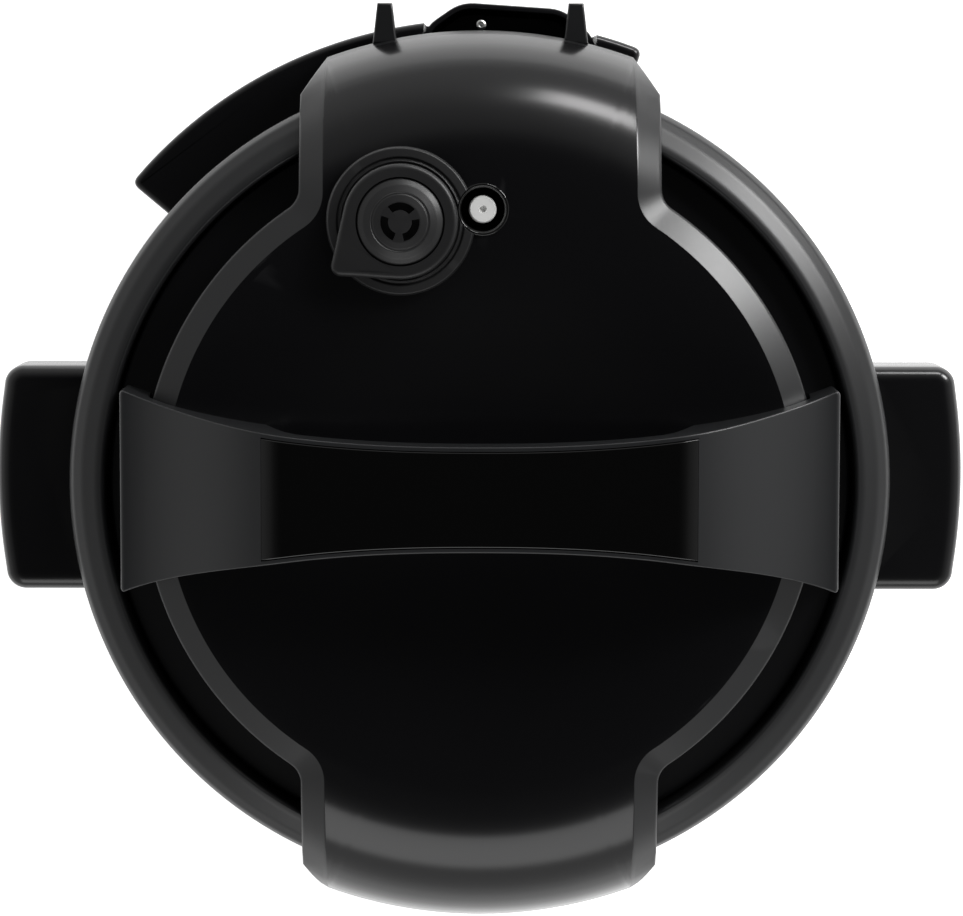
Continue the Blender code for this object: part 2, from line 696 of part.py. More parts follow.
def make_liner():
    low = LINER_Z
    floor_hole = SENSOR_R + 6
    turned("inner_liner", [
        (LINER_IN_R, LEDGE_Z - 4.3), (LINER_IN_R + 9, LEDGE_Z - 4.3), (LINER_IN_R + 9, LEDGE_Z - 5.3),
        (LINER_R, LEDGE_Z - 5.3), (LINER_R, low + 3), (LINER_R - 3, low), (floor_hole, low),
        (floor_hole, low + SHEET), (LINER_IN_R - 2.6, low + SHEET), (LINER_IN_R, low + 3.6),
    ], "aluminium")


def make_heater():
    low, top = PLATE_Z, PLATE_Z + PLATE_THICK
    turned("heating_plate", [
        (SENSOR_R + 1, top), (PLATE_R, top - 1), (PLATE_R, low + 5), (PLATE_R - 24, low + 4),
        (PLATE_R - 26, low),
        (PLATE_R - 42, low), (PLATE_R - 44, low + 4), (SENSOR_R + 1, low + 4),
    ], "aluminium", segments=28)
    turned("sensor_cap", [
        (0, top - GAP), (SENSOR_R - 1, top - GAP), (SENSOR_R, top - 1.4), (SENSOR_R, top - 5), (4, top - 5),
        (4, LINER_Z - 7), (0, LINER_Z - 7),
    ], "aluminium", segments=20)
    turned("pressure_switch", [(5, LINER_Z - 3), (11, LINER_Z - 3), (11, LINER_Z - 11), (5, LINER_Z - 11)],
           "grey_plastic", segments=16)
    make_spring("sensor_spring", 7.0, 0.8, LINER_Z - 1.8, top - 6.2, 4)
    box("thermal_fuse", (PLATE_R - 38, -4, PLATE_Z - 4.6), (PLATE_R - 16, 4, PLATE_Z - GAP), "brass")


def make_spring(name, radius, wire_r, low, high, turns):
    """A coil spring on the cooker's axis, its wire as a POLY curve."""
    curve = bpy.data.curves.new(name, "CURVE")
    curve.dimensions = "3D"
    curve.bevel_depth = wire_r * MM
    curve.bevel_resolution = 1
    curve.use_fill_caps = True
    steps = turns * 7
    spline = curve.splines.new("POLY")
    spline.points.add(steps)
    for i, point in enumerate(spline.points):
        angle = 2 * math.pi * turns * i / steps
        height = low + wire_r + (high - low - 2 * wire_r) * i / steps
        point.co = (radius * math.cos(angle) * MM, radius * math.sin(angle) * MM, height * MM, 1)
    coil = bpy.data.objects.new(name, curve)
    coil.parent = AXIS
    curve.materials.append(MATERIALS["steel"])
    PARTS.objects.link(coil)


def make_housing():
    shell = tube("housing_shell", HOUSING_R - SHEET, HOUSING_R, PAN_TOP_Z + GAP, COLLAR_EDGE_Z - 14,
        "steel",
                 segments=AROUND)
    half = BUTTON_X + BUTTON_HALF + 3
    window = box("panel_window", (-half, -HOUSING_R - 10, PANEL_LOW_Z + 6),
        (half, -HOUSING_R * 0.7, PANEL_TOP_Z - 6),
                 None)
    combine(shell, window, "DIFFERENCE")
    low = FOOT_HEIGHT
    rim = HOUSING_R + 1.5
    pan = turned("base_pan", [
        (0, low + WALL), (rim - 16, low + WALL), (rim - 5, low + 12),
        (HOUSING_R - SHEET - GAP - WALL, PAN_TOP_Z - 4),
        (HOUSING_R - SHEET - GAP - WALL, PAN_TOP_Z + 7), (HOUSING_R - SHEET - GAP, PAN_TOP_Z + 7),
        (HOUSING_R - SHEET - GAP, PAN_TOP_Z), (rim, PAN_TOP_Z), (rim, PAN_TOP_Z - 14), (rim - 3, low + 10),
        (rim - 15, low), (0, low),
    ], "satin_black")
    for k in range(3):
        place = polar(FOOT_CIRCLE_R - 34, 60 + 120 * k)
        combine(pan, cylinder(f"pan_screw_hole_{k}", 2.2, low - 2, low + 6, None, place, 16), "DIFFERENCE")
        turned(f"base_screw_{k + 1}", [(0, low + 7), (1.6, low + 7), (1.6, low - GAP), (3.8, low - GAP),
                                       (3.8, low - 2.2), (0, low - 2.2)], "steel", place, 12)
    for name, angle in (("rear_left", 45), ("front_left", 135), ("front_right", 225), ("rear_right", 315)):
        turned(f"foot_{name}", [(0, low - GAP), (FOOT_R, low - GAP), (FOOT_R - 1, 0.8),
            (FOOT_R - 2, 0), (0, 0)],
               "rubber", polar(FOOT_CIRCLE_R, angle), 20)


def make_electronics():
    low = FOOT_HEIGHT + WALL + 8
    box("main_board", (-70, -50, low), (30, 40, low + 1.6), "board")
    front = LINER_R + 7
    box("display_board", (-43, -front - 1.6, PANEL_LOW_Z + 10), (43, -front, PANEL_TOP_Z - 10), "board")


def side_handle_outline():
    """Plan of a side handle that sticks out towards +X: an end arc with rounded corners."""
    half, round_r = HANDLE_SIDE_HALF, 7.0
    centre_x = HANDLE_REACH - HANDLE_SIDE_ARC_R
    reach = math.degrees(math.asin((half - round_r) / HANDLE_SIDE_ARC_R))
    end = arc((centre_x, 0), HANDLE_SIDE_ARC_R, -reach, reach, 10)
    corner_x = end[-1][0] - round_r
    upper = arc((corner_x, half - round_r), round_r, 60, 90, 3)
    lower = [(x, -y) for x, y in reversed(upper)]
    return lower + end + upper + [(COLLAR_R - 12, half), (COLLAR_R - 12, -half)]


def make_side_handles():
    top = COLLAR_EDGE_Z - HANDLE_SIDE_DROP
    low = top - HANDLE_SIDE_HEIGHT
    for name, turn in (("side_handle_left", 180), ("side_handle_right", 0)):
        handle = prism(name, side_handle_outline(), low, top, "satin_black", turn=turn)
        round_edges(handle, 4.0, 3, 50)
        hollow = box(name + "_hollow", (COLLAR_R + 3.5, -HANDLE_SIDE_HALF + 5, low - 5),
                     (HANDLE_REACH - 6, HANDLE_SIDE_HALF - 5, top - 4), None, turn)
        combine(handle, hollow, "DIFFERENCE")
        seat = cylinder(name + "_seat", COLLAR_R + 0.3 + GAP, low - 5, top + 5, None, segments=AROUND)
        combine(handle, seat, "DIFFERENCE")


def sector(inner, outer, start, end, count=16):
    """Part of a ring in plan, its angles counted from the rear towards -X."""
    found = [polar(outer, start + (end - start) * i / count) for i in range(count + 1)]
    return found + [polar(inner, end + (start - end) * i / count) for i in range(count + 1)]


def cup_outline(margin=0.0, inner=None):
    """Plan of the condensation cup, reaching rearwards: straight sides and a narrowed front."""
    half, tip = CUP_HALF + margin, CUP_TIP_HALF + margin
    inner = inner or COLLAR_R + 2.0
    return [(-half, inner - margin), (half, inner - margin), (half, REAR_R - 4.5),
        (tip, REAR_REACH - 0.4 + margin),
            (-tip, REAR_REACH - 0.4 + margin), (-half, REAR_R - 4.5)]


def make_rear():
    start, end = REAR_CENTRE - REAR_HALF, REAR_CENTRE + REAR_HALF
    inner = HOUSING_R + GAP
    rear = prism("rear_housing", sector(inner, REAR_R, start, end, 18), REAR_LOW_Z, REAR_TOP_Z,
        "gloss_black")
    round_edges(rear, 2.0, 2, 50)
    margin = math.degrees(WALL / REAR_R)
    hollow = prism("rear_hollow", sector(inner - 5, REAR_R - WALL, start + margin, end - margin, 18),
                   REAR_LOW_Z + WALL, REAR_TOP_Z - WALL, None)
    combine(rear, hollow, "DIFFERENCE")
    clearance = cylinder("collar_clearance", COLLAR_R + 0.3 + GAP, COLLAR_LOW_Z - GAP, REAR_TOP_Z + 9, None,
                         segments=AROUND)
    combine(rear, clearance, "DIFFERENCE")
    pan = cylinder("pan_clearance", HOUSING_R + 1.5 + GAP, 0, PAN_TOP_Z + GAP, None, segments=AROUND)
    combine(rear, pan, "DIFFERENCE")
    cup_low = REAR_TOP_Z - 4 - CUP_HEIGHT
    pocket_sides = [(-CUP_HALF - 0.6, inner + 2), (CUP_HALF + 0.6, inner + 2),
                    (CUP_HALF + 0.6, REAR_R + 8), (-CUP_HALF - 0.6, REAR_R + 8)]
    pocket = prism("cup_pocket", pocket_sides, cup_low - 0.6, REAR_TOP_Z + 8, None, turn=CUP_ANGLE)
    combine(rear, pocket, "DIFFERENCE")
    cup = prism("condensation_cup", cup_outline(), cup_low, REAR_TOP_Z - 4, "gloss_black", turn=CUP_ANGLE)
    inside = prism("cup_inside", [(-CUP_HALF + CUP_WALL, COLLAR_R + 2 + CUP_WALL),
                                  (CUP_HALF - CUP_WALL, COLLAR_R + 2 + CUP_WALL),
                                  (CUP_HALF - CUP_WALL, REAR_R - 5),
                                  (CUP_TIP_HALF - 1, REAR_REACH - 0.4 - CUP_WALL),
                                  (-CUP_TIP_HALF + 1, REAR_REACH - 0.4 - CUP_WALL),
                                  (-CUP_HALF + CUP_WALL, REAR_R - 5)],
                   cup_low + CUP_WALL, REAR_TOP_Z + 5, None, turn=CUP_ANGLE)
    combine(cup, inside, "DIFFERENCE")
    make_inlet(rear)


def make_inlet(rear):
    half, tall = INLET_HALF, INLET_HALF_HEIGHT
    face = REAR_R + 0.4
    opening = box("inlet_opening", (-half - GAP, REAR_R - 20, INLET_Z - tall - GAP),
                  (half + GAP, REAR_R + 5, INLET_Z + tall + GAP), None)
    combine(rear, opening, "DIFFERENCE")
    inlet = box("mains_inlet", (-half, face - 17, INLET_Z - tall),
        (half, face, INLET_Z + tall), "satin_black")
    recess = box("inlet_recess", (-half + 2.5, face - 14, INLET_Z - tall + 2.5),
        (half - 2.5, face + 4, INLET_Z + tall - 2.5),
                 None)
    combine(inlet, recess, "DIFFERENCE")
    for k, (x, z) in enumerate(((-7, -3), (0, 3), (7, -3))):
        pin = box(f"inlet_pin_{k}", (x - 1, face - 15, INLET_Z + z - 2),
            (x + 1, face - 6, INLET_Z + z + 2), None)
        combine(inlet, pin, "UNION")


# ---------------------------------------------------------------- controls


def button_places():
    """Name and centre (x, z) of each button."""
    top = PANEL_TOP_Z - 24
    places = []
    for column, x in (("left", -BUTTON_X), ("right", BUTTON_X)):
        for k in range(4):
            places.append((f"button_{column}_{k + 1}", x, top - BUTTON_STEP * k))
    lowest = top - BUTTON_STEP * 4
    for word, x in (("cancel", -13.0), ("start", 13.0)):
        places.append((f"button_{word}", x, lowest + BUTTON_STEP))
    for word, x in (("minus", -13.0), ("plus", 13.0)):
        places.append((f"button_{word}", x, lowest + 2 * BUTTON_STEP - 2))
    return places


def front_prism(name, outline, x, z, near, far, finish):
    """An outline in the front view, at (x, z), running along Y from near to far in front of the axis."""
    made = prism(name, outline, -far, -near, finish)
    for vertex in made.data.vertices:
        flat_x, flat_y, depth = vertex.co
        vertex.co = (flat_x, depth, flat_y)
    made.data.flip_normals()
    made.location = (x * MM, -(near + far) / 2 * MM, z * MM)
    return made


def make_panel():
    inner, outer = HOUSING_R + GAP, HOUSING_R + GAP + PANEL_THICK
    outline = sector(inner, outer, 180 - PANEL_HALF, 180 + PANEL_HALF, 14)
    panel = prism("control_panel", outline, PANEL_LOW_Z, PANEL_TOP_Z, "gloss_black")
    lens_z = PANEL_TOP_Z - LENS_BELOW_TOP
    lens_hole = rounded_rectangle(LENS_HALF + GAP, LENS_HALF_HEIGHT + GAP, 3.0 + GAP)
    combine(panel, front_prism("lens_hole", lens_hole, 0, lens_z, inner - 20, outer + 10, None),
            "DIFFERENCE")
    lens = front_prism("display_lens", rounded_rectangle(LENS_HALF, LENS_HALF_HEIGHT, 3.0), 0, lens_z,
        inner - 8,
                       outer + 4, "lens")
    combine(lens, tube("lens_curve", inner - 1.2, outer - 0.2, 0, COLLAR_Z, None, segments=AROUND),
            "INTERSECT")
    for name, x, z in button_places():
        outline = rounded_rectangle(BUTTON_HALF, BUTTON_HALF_HEIGHT, 3.0, 2)
        hole = rounded_rectangle(BUTTON_HALF + GAP, BUTTON_HALF_HEIGHT + GAP, 3.0 + GAP, 2)
        combine(panel, front_prism(name + "_hole", hole, x, z, inner - 20, outer + 10, None), "DIFFERENCE")
        button = front_prism(name, outline, x, z, inner - 14, outer + 4, "satin_black")
        ring = tube(name + "_curve", inner - 3, outer + BUTTON_PROUD, 0, COLLAR_Z, None, segments=AROUND)
        combine(button, ring, "INTERSECT")


make_lid_cover()
make_lid_handle()
insert_bar("handle_insert", "gloss_black")
make_lid_screws()
make_lid_plate()
make_seal()
make_steam_pipe()
make_float_valve()
make_interlock()
make_valve()
make_collar()
make_locking_ring()
make_pot()
make_liner()
make_heater()
make_housing()
make_electronics()
make_side_handles()
make_rear()
make_panel()
bpy.context.view_layer.update()
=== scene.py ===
"""Looks of an electric pressure cooker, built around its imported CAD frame.

Fine pieces stand for the CAD solids that show, and every other CAD node gets a procedural finish.
A pale floor, soft studio light and the camera follow. Sizes are in millimetres from the cooker's
upright axis and the floor, and MM turns them into metres. The front is -Y and the rear is +Y.
"""

import logging
import math
from dataclasses import dataclass
from enum import Enum
from typing import Callable, Sequence

import bmesh
import bpy
from mathutils import Matrix, Quaternion, Vector


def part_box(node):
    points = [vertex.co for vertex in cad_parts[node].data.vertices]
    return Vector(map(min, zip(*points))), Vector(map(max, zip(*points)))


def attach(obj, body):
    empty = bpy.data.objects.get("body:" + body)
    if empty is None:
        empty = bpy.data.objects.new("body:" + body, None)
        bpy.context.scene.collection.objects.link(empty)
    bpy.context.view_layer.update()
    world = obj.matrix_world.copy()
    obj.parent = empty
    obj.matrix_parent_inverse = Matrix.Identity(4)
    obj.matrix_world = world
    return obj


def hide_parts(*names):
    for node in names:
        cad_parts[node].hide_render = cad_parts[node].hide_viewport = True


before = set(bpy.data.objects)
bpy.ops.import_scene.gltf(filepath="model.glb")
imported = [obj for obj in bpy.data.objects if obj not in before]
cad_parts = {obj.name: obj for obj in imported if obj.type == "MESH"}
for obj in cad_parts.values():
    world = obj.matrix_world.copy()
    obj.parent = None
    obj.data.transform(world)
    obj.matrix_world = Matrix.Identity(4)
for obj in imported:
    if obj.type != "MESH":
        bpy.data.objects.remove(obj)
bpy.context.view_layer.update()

LOG = logging.getLogger("pressure_cooker")
MM = 0.001
ROUND = 224  # stations around the large turned pieces
GAP = 0.3  # between pieces that touch
WALL = 2.4  # moulded plastic
SHEET = 1.0  # drawn steel

Plan = list[tuple[float, float]]
Colour = tuple[float, float, float]


# ---------------------------------------------------------------- sizes read from the frame


AXIS_Y = (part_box("inner_pot")[0].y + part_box("inner_pot")[1].y) / 2 / MM


def low_of(node: str, axis: int) -> float:
    """Lowest value of a CAD node on an axis, in mm from the cooker's axis and the floor."""
    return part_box(node)[0][axis] / MM - (AXIS_Y if axis == 1 else 0.0)


def high_of(node: str, axis: int) -> float:
    """Highest value of a CAD node on an axis, in mm from the cooker's axis and the floor."""
    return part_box(node)[1][axis] / MM - (AXIS_Y if axis == 1 else 0.0)


def middle_of(node: str) -> tuple[float, float]:
    """Plan centre of a CAD node, in mm from the cooker's axis."""
    return ((low_of(node, 0) + high_of(node, 0)) / 2, (low_of(node, 1) + high_of(node, 1)) / 2)


POT_R = high_of("inner_pot", 0) - 8.9
LINER_R = POT_R + 5.5  # inside of the liner
LOCK_R = POT_R + 10.7
SKIRT_R = LOCK_R + 3.0
BRIM_R = SKIRT_R + 2.3
COLLAR_IN_R = BRIM_R + 1.2
COLLAR_R = COLLAR_IN_R + 13.3
HOUSING_R = high_of("housing_shell", 0)
LOBE_R = -low_of("lid_cover", 1)
REAR_R = COLLAR_R + 18.0
REAR_REACH = high_of("lid_cover", 1)
HANDLE_REACH = high_of("side_handle_right", 0)
BAND_R = BRIM_R - 12.2
CREST_R = BRIM_R - 20.6
DISH_R = CREST_R - 3.0

POT_Z = low_of("inner_pot", 2)
RIM_Z = high_of("inner_pot", 2)
LOCK_Z = RIM_Z - 1.3
LEDGE_Z = LOCK_Z - 8.0
LID_PLATE_Z = high_of("lid_plate", 2) - SHEET
BRIM_Z = LID_PLATE_Z + SHEET + 5.5
CREST_Z = high_of("lid_cover", 2)
COLLAR_Z = high_of("top_collar", 2)
COLLAR_EDGE_Z = COLLAR_Z - 7.0
COLLAR_LOW_Z = low_of("top_collar", 2)
LOBE_RIM_Z = CREST_Z - 42.0
LOBE_LOW_Z = LOBE_RIM_Z - 7.0
REAR_TOP_Z = high_of("rear_housing", 2)
HANDLE_TOP_Z = high_of("side_handle_right", 2)
PAN_TOP_Z = low_of("housing_shell", 2) - GAP
VALVE = middle_of("valve_diffuser")
FLOAT = middle_of("float_valve")


# ---------------------------------------------------------------- mesh making


def arc(centre: tuple[float, float], radius: float, start: float, end: float, count: int) -> Plan:
    """Points on an arc in plan, with its angles in degrees counted from +X."""
    steps = [math.radians(start + (end - start) * i / count) for i in range(count + 1)]
    return [(centre[0] + radius * math.cos(a), centre[1] + radius * math.sin(a)) for a in steps]


def polar(radius: float, degrees_from_rear: float) -> tuple[float, float]:
    """A point in plan at an angle counted from the rear towards -X."""
    angle = math.radians(degrees_from_rear)
    return -radius * math.sin(angle), radius * math.cos(angle)


def smooth(value: float) -> float:
    """Smooth step from 0 to 1."""
    value = min(max(value, 0.0), 1.0)
    return value * value * (3 - 2 * value)


def curve_through(table: Sequence[tuple[float, float]], value: float) -> float:
    """Height at a radius on a smooth curve through (radius, height) points.

    Args:
        table: Points in order of radius.
        value: The radius.

    Returns:
        The height, held constant outside the table.
    """
    if value <= table[0][0]:
        return table[0][1]
    if value >= table[-1][0]:
        return table[-1][1]
    last = len(table) - 1
    i = next(k for k in range(last) if value <= table[k + 1][0])

    def slope(k: int) -> float:
        """Slope of the curve at one point of the table."""
        before, after = table[max(k - 1, 0)], table[min(k + 1, last)]
        return (after[1] - before[1]) / (after[0] - before[0])

    (r0, z0), (r1, z1) = table[i], table[i + 1]
    width = r1 - r0
    t = (value - r0) / width
    return ((2 * t**3 - 3 * t**2 + 1) * z0 + (t**3 - 2 * t**2 + t) * width * slope(i)
            + (3 * t**2 - 2 * t**3) * z1 + (t**3 - t**2) * width * slope(i + 1))


def rounded(corners: Sequence[Sequence[float]], radii: Sequence[float], closed: bool,
            steps: int = 4) -> list[Vector]:
    """A polyline with its corners rounded, and a support point on each side that keeps flats flat in shading.

    Args:
        corners: The polyline's corners, in two or three dimensions.
        radii: How far from each corner its rounding starts, in mm. 0 leaves the corner.
        closed: Whether the last corner joins the first.
        steps: Edges in each rounding.

    Returns:
        The rounded polyline, with the same count of points for the same radii.
    """
    points = [Vector(c) for c in corners]
    found: list[Vector] = []
    for i, corner in enumerate(points):
        if radii[i] == 0 or (not closed and i in (0, len(points) - 1)):
            found.append(corner)
            continue
        before, after = points[i - 1] - corner, points[(i + 1) % len(points)] - corner
        reach = min(radii[i], 0.4 * before.length, 0.4 * after.length)
        start, end = corner + before.normalized() * reach, corner + after.normalized() * reach
        found.append(corner + before.normalized() * reach * 1.2)
        for k in range(steps + 1):
            t = k / steps
            found.append(start * (1 - t) ** 2 + corner * 2 * t * (1 - t) + end * t**2)
        found.append(corner + after.normalized() * reach * 1.2)
    return found


def to_object(name: str, work: bmesh.types.BMesh) -> bpy.types.Object:
    """Turns a closed mesh in mm around the cooker's axis into an object at the origin, its faces outwards."""
    bmesh.ops.remove_doubles(work, verts=work.verts, dist=0.0005)
    bmesh.ops.recalc_face_normals(work, faces=work.faces)
    work.transform(Matrix.Scale(MM, 4) @ Matrix.Translation((0, AXIS_Y, 0)))
    mesh = bpy.data.meshes.new(name)
    work.to_mesh(mesh)
    work.free()
    made = bpy.data.objects.new(name, mesh)
    bpy.context.scene.collection.objects.link(made)
    return made


def loft(name: str, rings: Sequence[Sequence[Vector]], joined: bool = False,
         capped: bool = True) -> bpy.types.Object:
    """A skin through closed rings of points.

    Args:
        name: Name of the object.
        rings: Rings with the same count of points. A ring of one point is a pole.
        joined: Whether the last ring joins the first, as on a turned ring.
        capped: Whether open ends are closed with one face each.

    Returns:
        The closed object.
    """
    work = bmesh.new()
    made = [[work.verts.new(p) for p in ring] for ring in rings]
    pairs = list(zip(made, made[1:])) + ([(made[-1], made[0])] if joined else [])
    for lower, upper in pairs:
        count = max(len(lower), len(upper))
        for i in range(count):
            after = (i + 1) % count
            if len(lower) == 1:
                work.faces.new((lower[0], upper[after], upper[i]))
            elif len(upper) == 1:
                work.faces.new((lower[i], lower[after], upper[0]))
            else:
                work.faces.new((lower[i], lower[after], upper[after], upper[i]))
    if capped and not joined:
        for ring in (made[0], made[-1]):
            if len(ring) > 2:
                work.faces.new(ring)
    return to_object(name, work)


def turned(name: str, profile: Plan, radius: float = 0.6, centre: tuple[float, float] = (0.0, 0.0),
           segments: int = ROUND) -> bpy.types.Object:
    """A turned piece from a (radius, height) profile, rounded at its corners.

    Args:
        name: Name of the object.
        profile: A closed section, or one that starts and ends on the axis at radius 0.
        radius: Rounding of every corner off the axis, in mm.
        centre: Plan place of the piece's axis.
        segments: Stations around.

    Returns:
        The closed object.
    """
    on_axis = profile[0][0] == 0
    section = rounded(profile, [radius] * len(profile), not on_axis)
    rings = []
    for r, z in section:
        if r < 1e-6:
            rings.append([Vector((*centre, z))])
        else:
            circle = arc(centre, r, 0, 360, segments)[:-1]
            rings.append([Vector((x, y, z)) for x, y in circle])
    return loft(name, rings, joined=not on_axis)


def inset(outline: Plan, distance: float) -> Plan:
    """An anticlockwise outline moved inwards along its corner normals."""
    found = []
    for i, (x, y) in enumerate(outline):
        (x0, y0), (x1, y1) = outline[i - 1], outline[(i + 1) % len(outline)]
        before, after = Vector((x - x0, y - y0)).normalized(), Vector((x1 - x, y1 - y)).normalized()
        inwards = Vector((-before.y - after.y, before.x + after.x))
        half = inwards.length / 2
        inwards = inwards.normalized() * distance / max(half, 0.5)
        found.append((x + inwards.x, y + inwards.y))
    return found


def plate(name: str, outline: Plan, low: float, high: float, edge: float,
          place: Callable[[float, float, float], Vector],
          low_edge: float = 0.3) -> bpy.types.Object:
    """A flat outline with thickness and rounded rims, put in place point by point.

    Args:
        name: Name of the object.
        outline: Anticlockwise outline.
        low: Level of the lower face.
        high: Level of the upper face.
        edge: Rounding of the upper rim, in mm.
        place: Turns an outline point and a level into a point in space.
        low_edge: Rounding of the lower rim, in mm.

    Returns:
        The closed object.
    """
    steps = 5
    levels = [(low_edge * 1.3, low)]
    levels += [(low_edge * (1 - math.sin(math.pi / 2 * k / 3)),
                low + low_edge * (1 - math.cos(math.pi / 2 * k / 3)))
               for k in range(4)]
    levels += [(edge * (1 - math.cos(math.pi / 2 * k / steps)),
                high - edge * (1 - math.sin(math.pi / 2 * k / steps)))
               for k in range(steps + 1)]
    levels.append((edge * 1.3, high))
    rings = [[place(x, y, level) for x, y in inset(outline, distance)] for distance, level in levels]
    return loft(name, rings)


def upright(x: float, y: float, level: float) -> Vector:
    """Places a plate's point with its level as height."""
    return Vector((x, y, level))


def on_front(x: float, z: float, radius: float) -> Vector:
    """Places a plate's point on the round front, with its level as distance from the cooker's axis."""
    return Vector((x, -math.sqrt(radius * radius - x * x), z))


def oblong(half_x: float, half_y: float, radius: float, centre: tuple[float, float] = (0.0, 0.0),
           count: int = 6) -> Plan:
    """An anticlockwise rectangle with round corners and points along its sides."""
    found: Plan = []
    for side_x, side_y, start in ((1, 1, 0), (-1, 1, 90), (-1, -1, 180), (1, -1, 270)):
        corner = (centre[0] + side_x * (half_x - radius), centre[1] + side_y * (half_y - radius))
        found += arc(corner, radius, start, start + 90, count)
    return divided(found, 6.0)


def divided(outline: Plan, longest: float) -> Plan:
    """An outline with its long edges cut into shorter ones."""
    found: Plan = []
    for i, (x, y) in enumerate(outline):
        x1, y1 = outline[(i + 1) % len(outline)]
        count = max(1, math.ceil(math.hypot(x1 - x, y1 - y) / longest))
        found += [(x + (x1 - x) * k / count, y + (y1 - y) * k / count) for k in range(count)]
    return found


def cut(target: bpy.types.Object, *cutters: bpy.types.Object) -> bpy.types.Object:
    """Takes the cutters out of the target and removes them."""
    for cutter in cutters:
        step = target.modifiers.new("Cut", "BOOLEAN")
        step.operation = "DIFFERENCE"
        step.solver = "MANIFOLD"
        step.object = cutter
    bake(target)
    for cutter in cutters:
        bpy.data.objects.remove(cutter)
    return target


def bake(target: bpy.types.Object) -> bpy.types.Object:
    """Turns an object's modifiers into its plain mesh."""
    evaluated = target.evaluated_get(bpy.context.evaluated_depsgraph_get())
    mesh = bpy.data.meshes.new_from_object(evaluated)
    target.modifiers.clear()
    target.data = mesh
    return target


def drum(radius: float, low: float, high: float, centre: tuple[float, float] = (0.0, 0.0),
         segments: int = ROUND) -> bpy.types.Object:
    """A plain round cutter."""
    return turned("cutter", [(0, low), (radius, low), (radius, high), (0, high)], 0.0, centre, segments)


def block(low: Sequence[float], high: Sequence[float]) -> bpy.types.Object:
    """A plain square cutter between two corners."""
    outline = [(low[0], low[1]), (high[0], low[1]), (high[0], high[1]), (low[0], high[1])]
    return loft("cutter", [[Vector((x, y, z)) for x, y in outline] for z in (low[2], high[2])])


# ---------------------------------------------------------------- repeated details


class RepeatTree:
    """Geometry Nodes tree that repeats a mesh, each copy turned about an upright axis and moved by one more
    step."""

    def __init__(self) -> None:
        """Builds the tree and keeps its inputs' identifiers."""
        self.tree = bpy.data.node_groups.new("repeat_in_steps", "GeometryNodeTree")
        self.socket("Shape", "NodeSocketGeometry")
        self.count = self.socket("Count", "NodeSocketInt")
        self.centre = self.socket("Centre", "NodeSocketVector")
        self.turn = self.socket("Turn", "NodeSocketFloat")
        self.move = self.socket("Move", "NodeSocketVector")
        self.finish = self.socket("Finish", "NodeSocketMaterial")
        self.tree.interface.new_socket("Copies", in_out="OUTPUT", socket_type="NodeSocketGeometry")
        sheet = Sheet(self.tree)
        given = sheet.add("NodeGroupInput")
        away = sheet.add("ShaderNodeVectorMath", {0: given.outputs["Centre"], 1: (-1, -1, -1)},
                         operation="MULTIPLY")
        seed = sheet.add("GeometryNodeTransform", {"Geometry": given.outputs["Shape"],
                                                   "Translation": away.outputs[0]})
        places = sheet.add("GeometryNodeMeshLine", {"Count": given.outputs["Count"],
                                                    "Start Location": given.outputs["Centre"],
                                                    "Offset": given.outputs["Move"]})
        index = sheet.add("GeometryNodeInputIndex")
        angle = sheet.add("ShaderNodeMath", {0: index.outputs[0], 1: given.outputs["Turn"]},
                          operation="MULTIPLY")
        rotation = sheet.add("ShaderNodeCombineXYZ", {"Z": angle.outputs[0]})
        copies = sheet.add("GeometryNodeInstanceOnPoints", {"Points": places.outputs[0],
                                                            "Instance": seed.outputs[0],
                                                            "Rotation": rotation.outputs[0]})
        real = sheet.add("GeometryNodeRealizeInstances", {"Geometry": copies.outputs[0]})
        dressed = sheet.add("GeometryNodeSetMaterial", {"Geometry": real.outputs[0],
                                                        "Material": given.outputs["Finish"]})
        sheet.add("NodeGroupOutput", {"Copies": dressed.outputs[0]})
    
    def socket(self, name: str, kind: str) -> str:
        """Adds a named input and returns its identifier."""
        return self.tree.interface.new_socket(name, in_out="INPUT", socket_type=kind).identifier

    def spread(self, piece: bpy.types.Object, finish: bpy.types.Material, count: int, turn: float = 0.0,
               move: Sequence[float] = (0.0, 0.0, 0.0), centre: tuple[float, float] = (0.0,
                   0.0)) -> bpy.types.Object:
        """Repeats a piece's mesh and turns the result into its plain mesh.

        Args:
            piece: The piece with the mesh of the first copy.
            finish: Its material.
            count: Copies in all.
            turn: Degrees from one copy to the next, about the centre.
            move: Distance from one copy to the next, in mm.
            centre: Plan place of the axis of turning, in mm from the cooker's axis.

        Returns:
            The piece.
        """
        step = piece.modifiers.new("Repeat", "NODES")
        step.node_group = self.tree
        step[self.count] = count
        step[self.centre] = (centre[0] * MM, (centre[1] + AXIS_Y) * MM, 0.0)
        step[self.turn] = math.radians(turn)
        step[self.move] = [value * MM for value in move]
        step[self.finish] = finish
        return bake(piece)


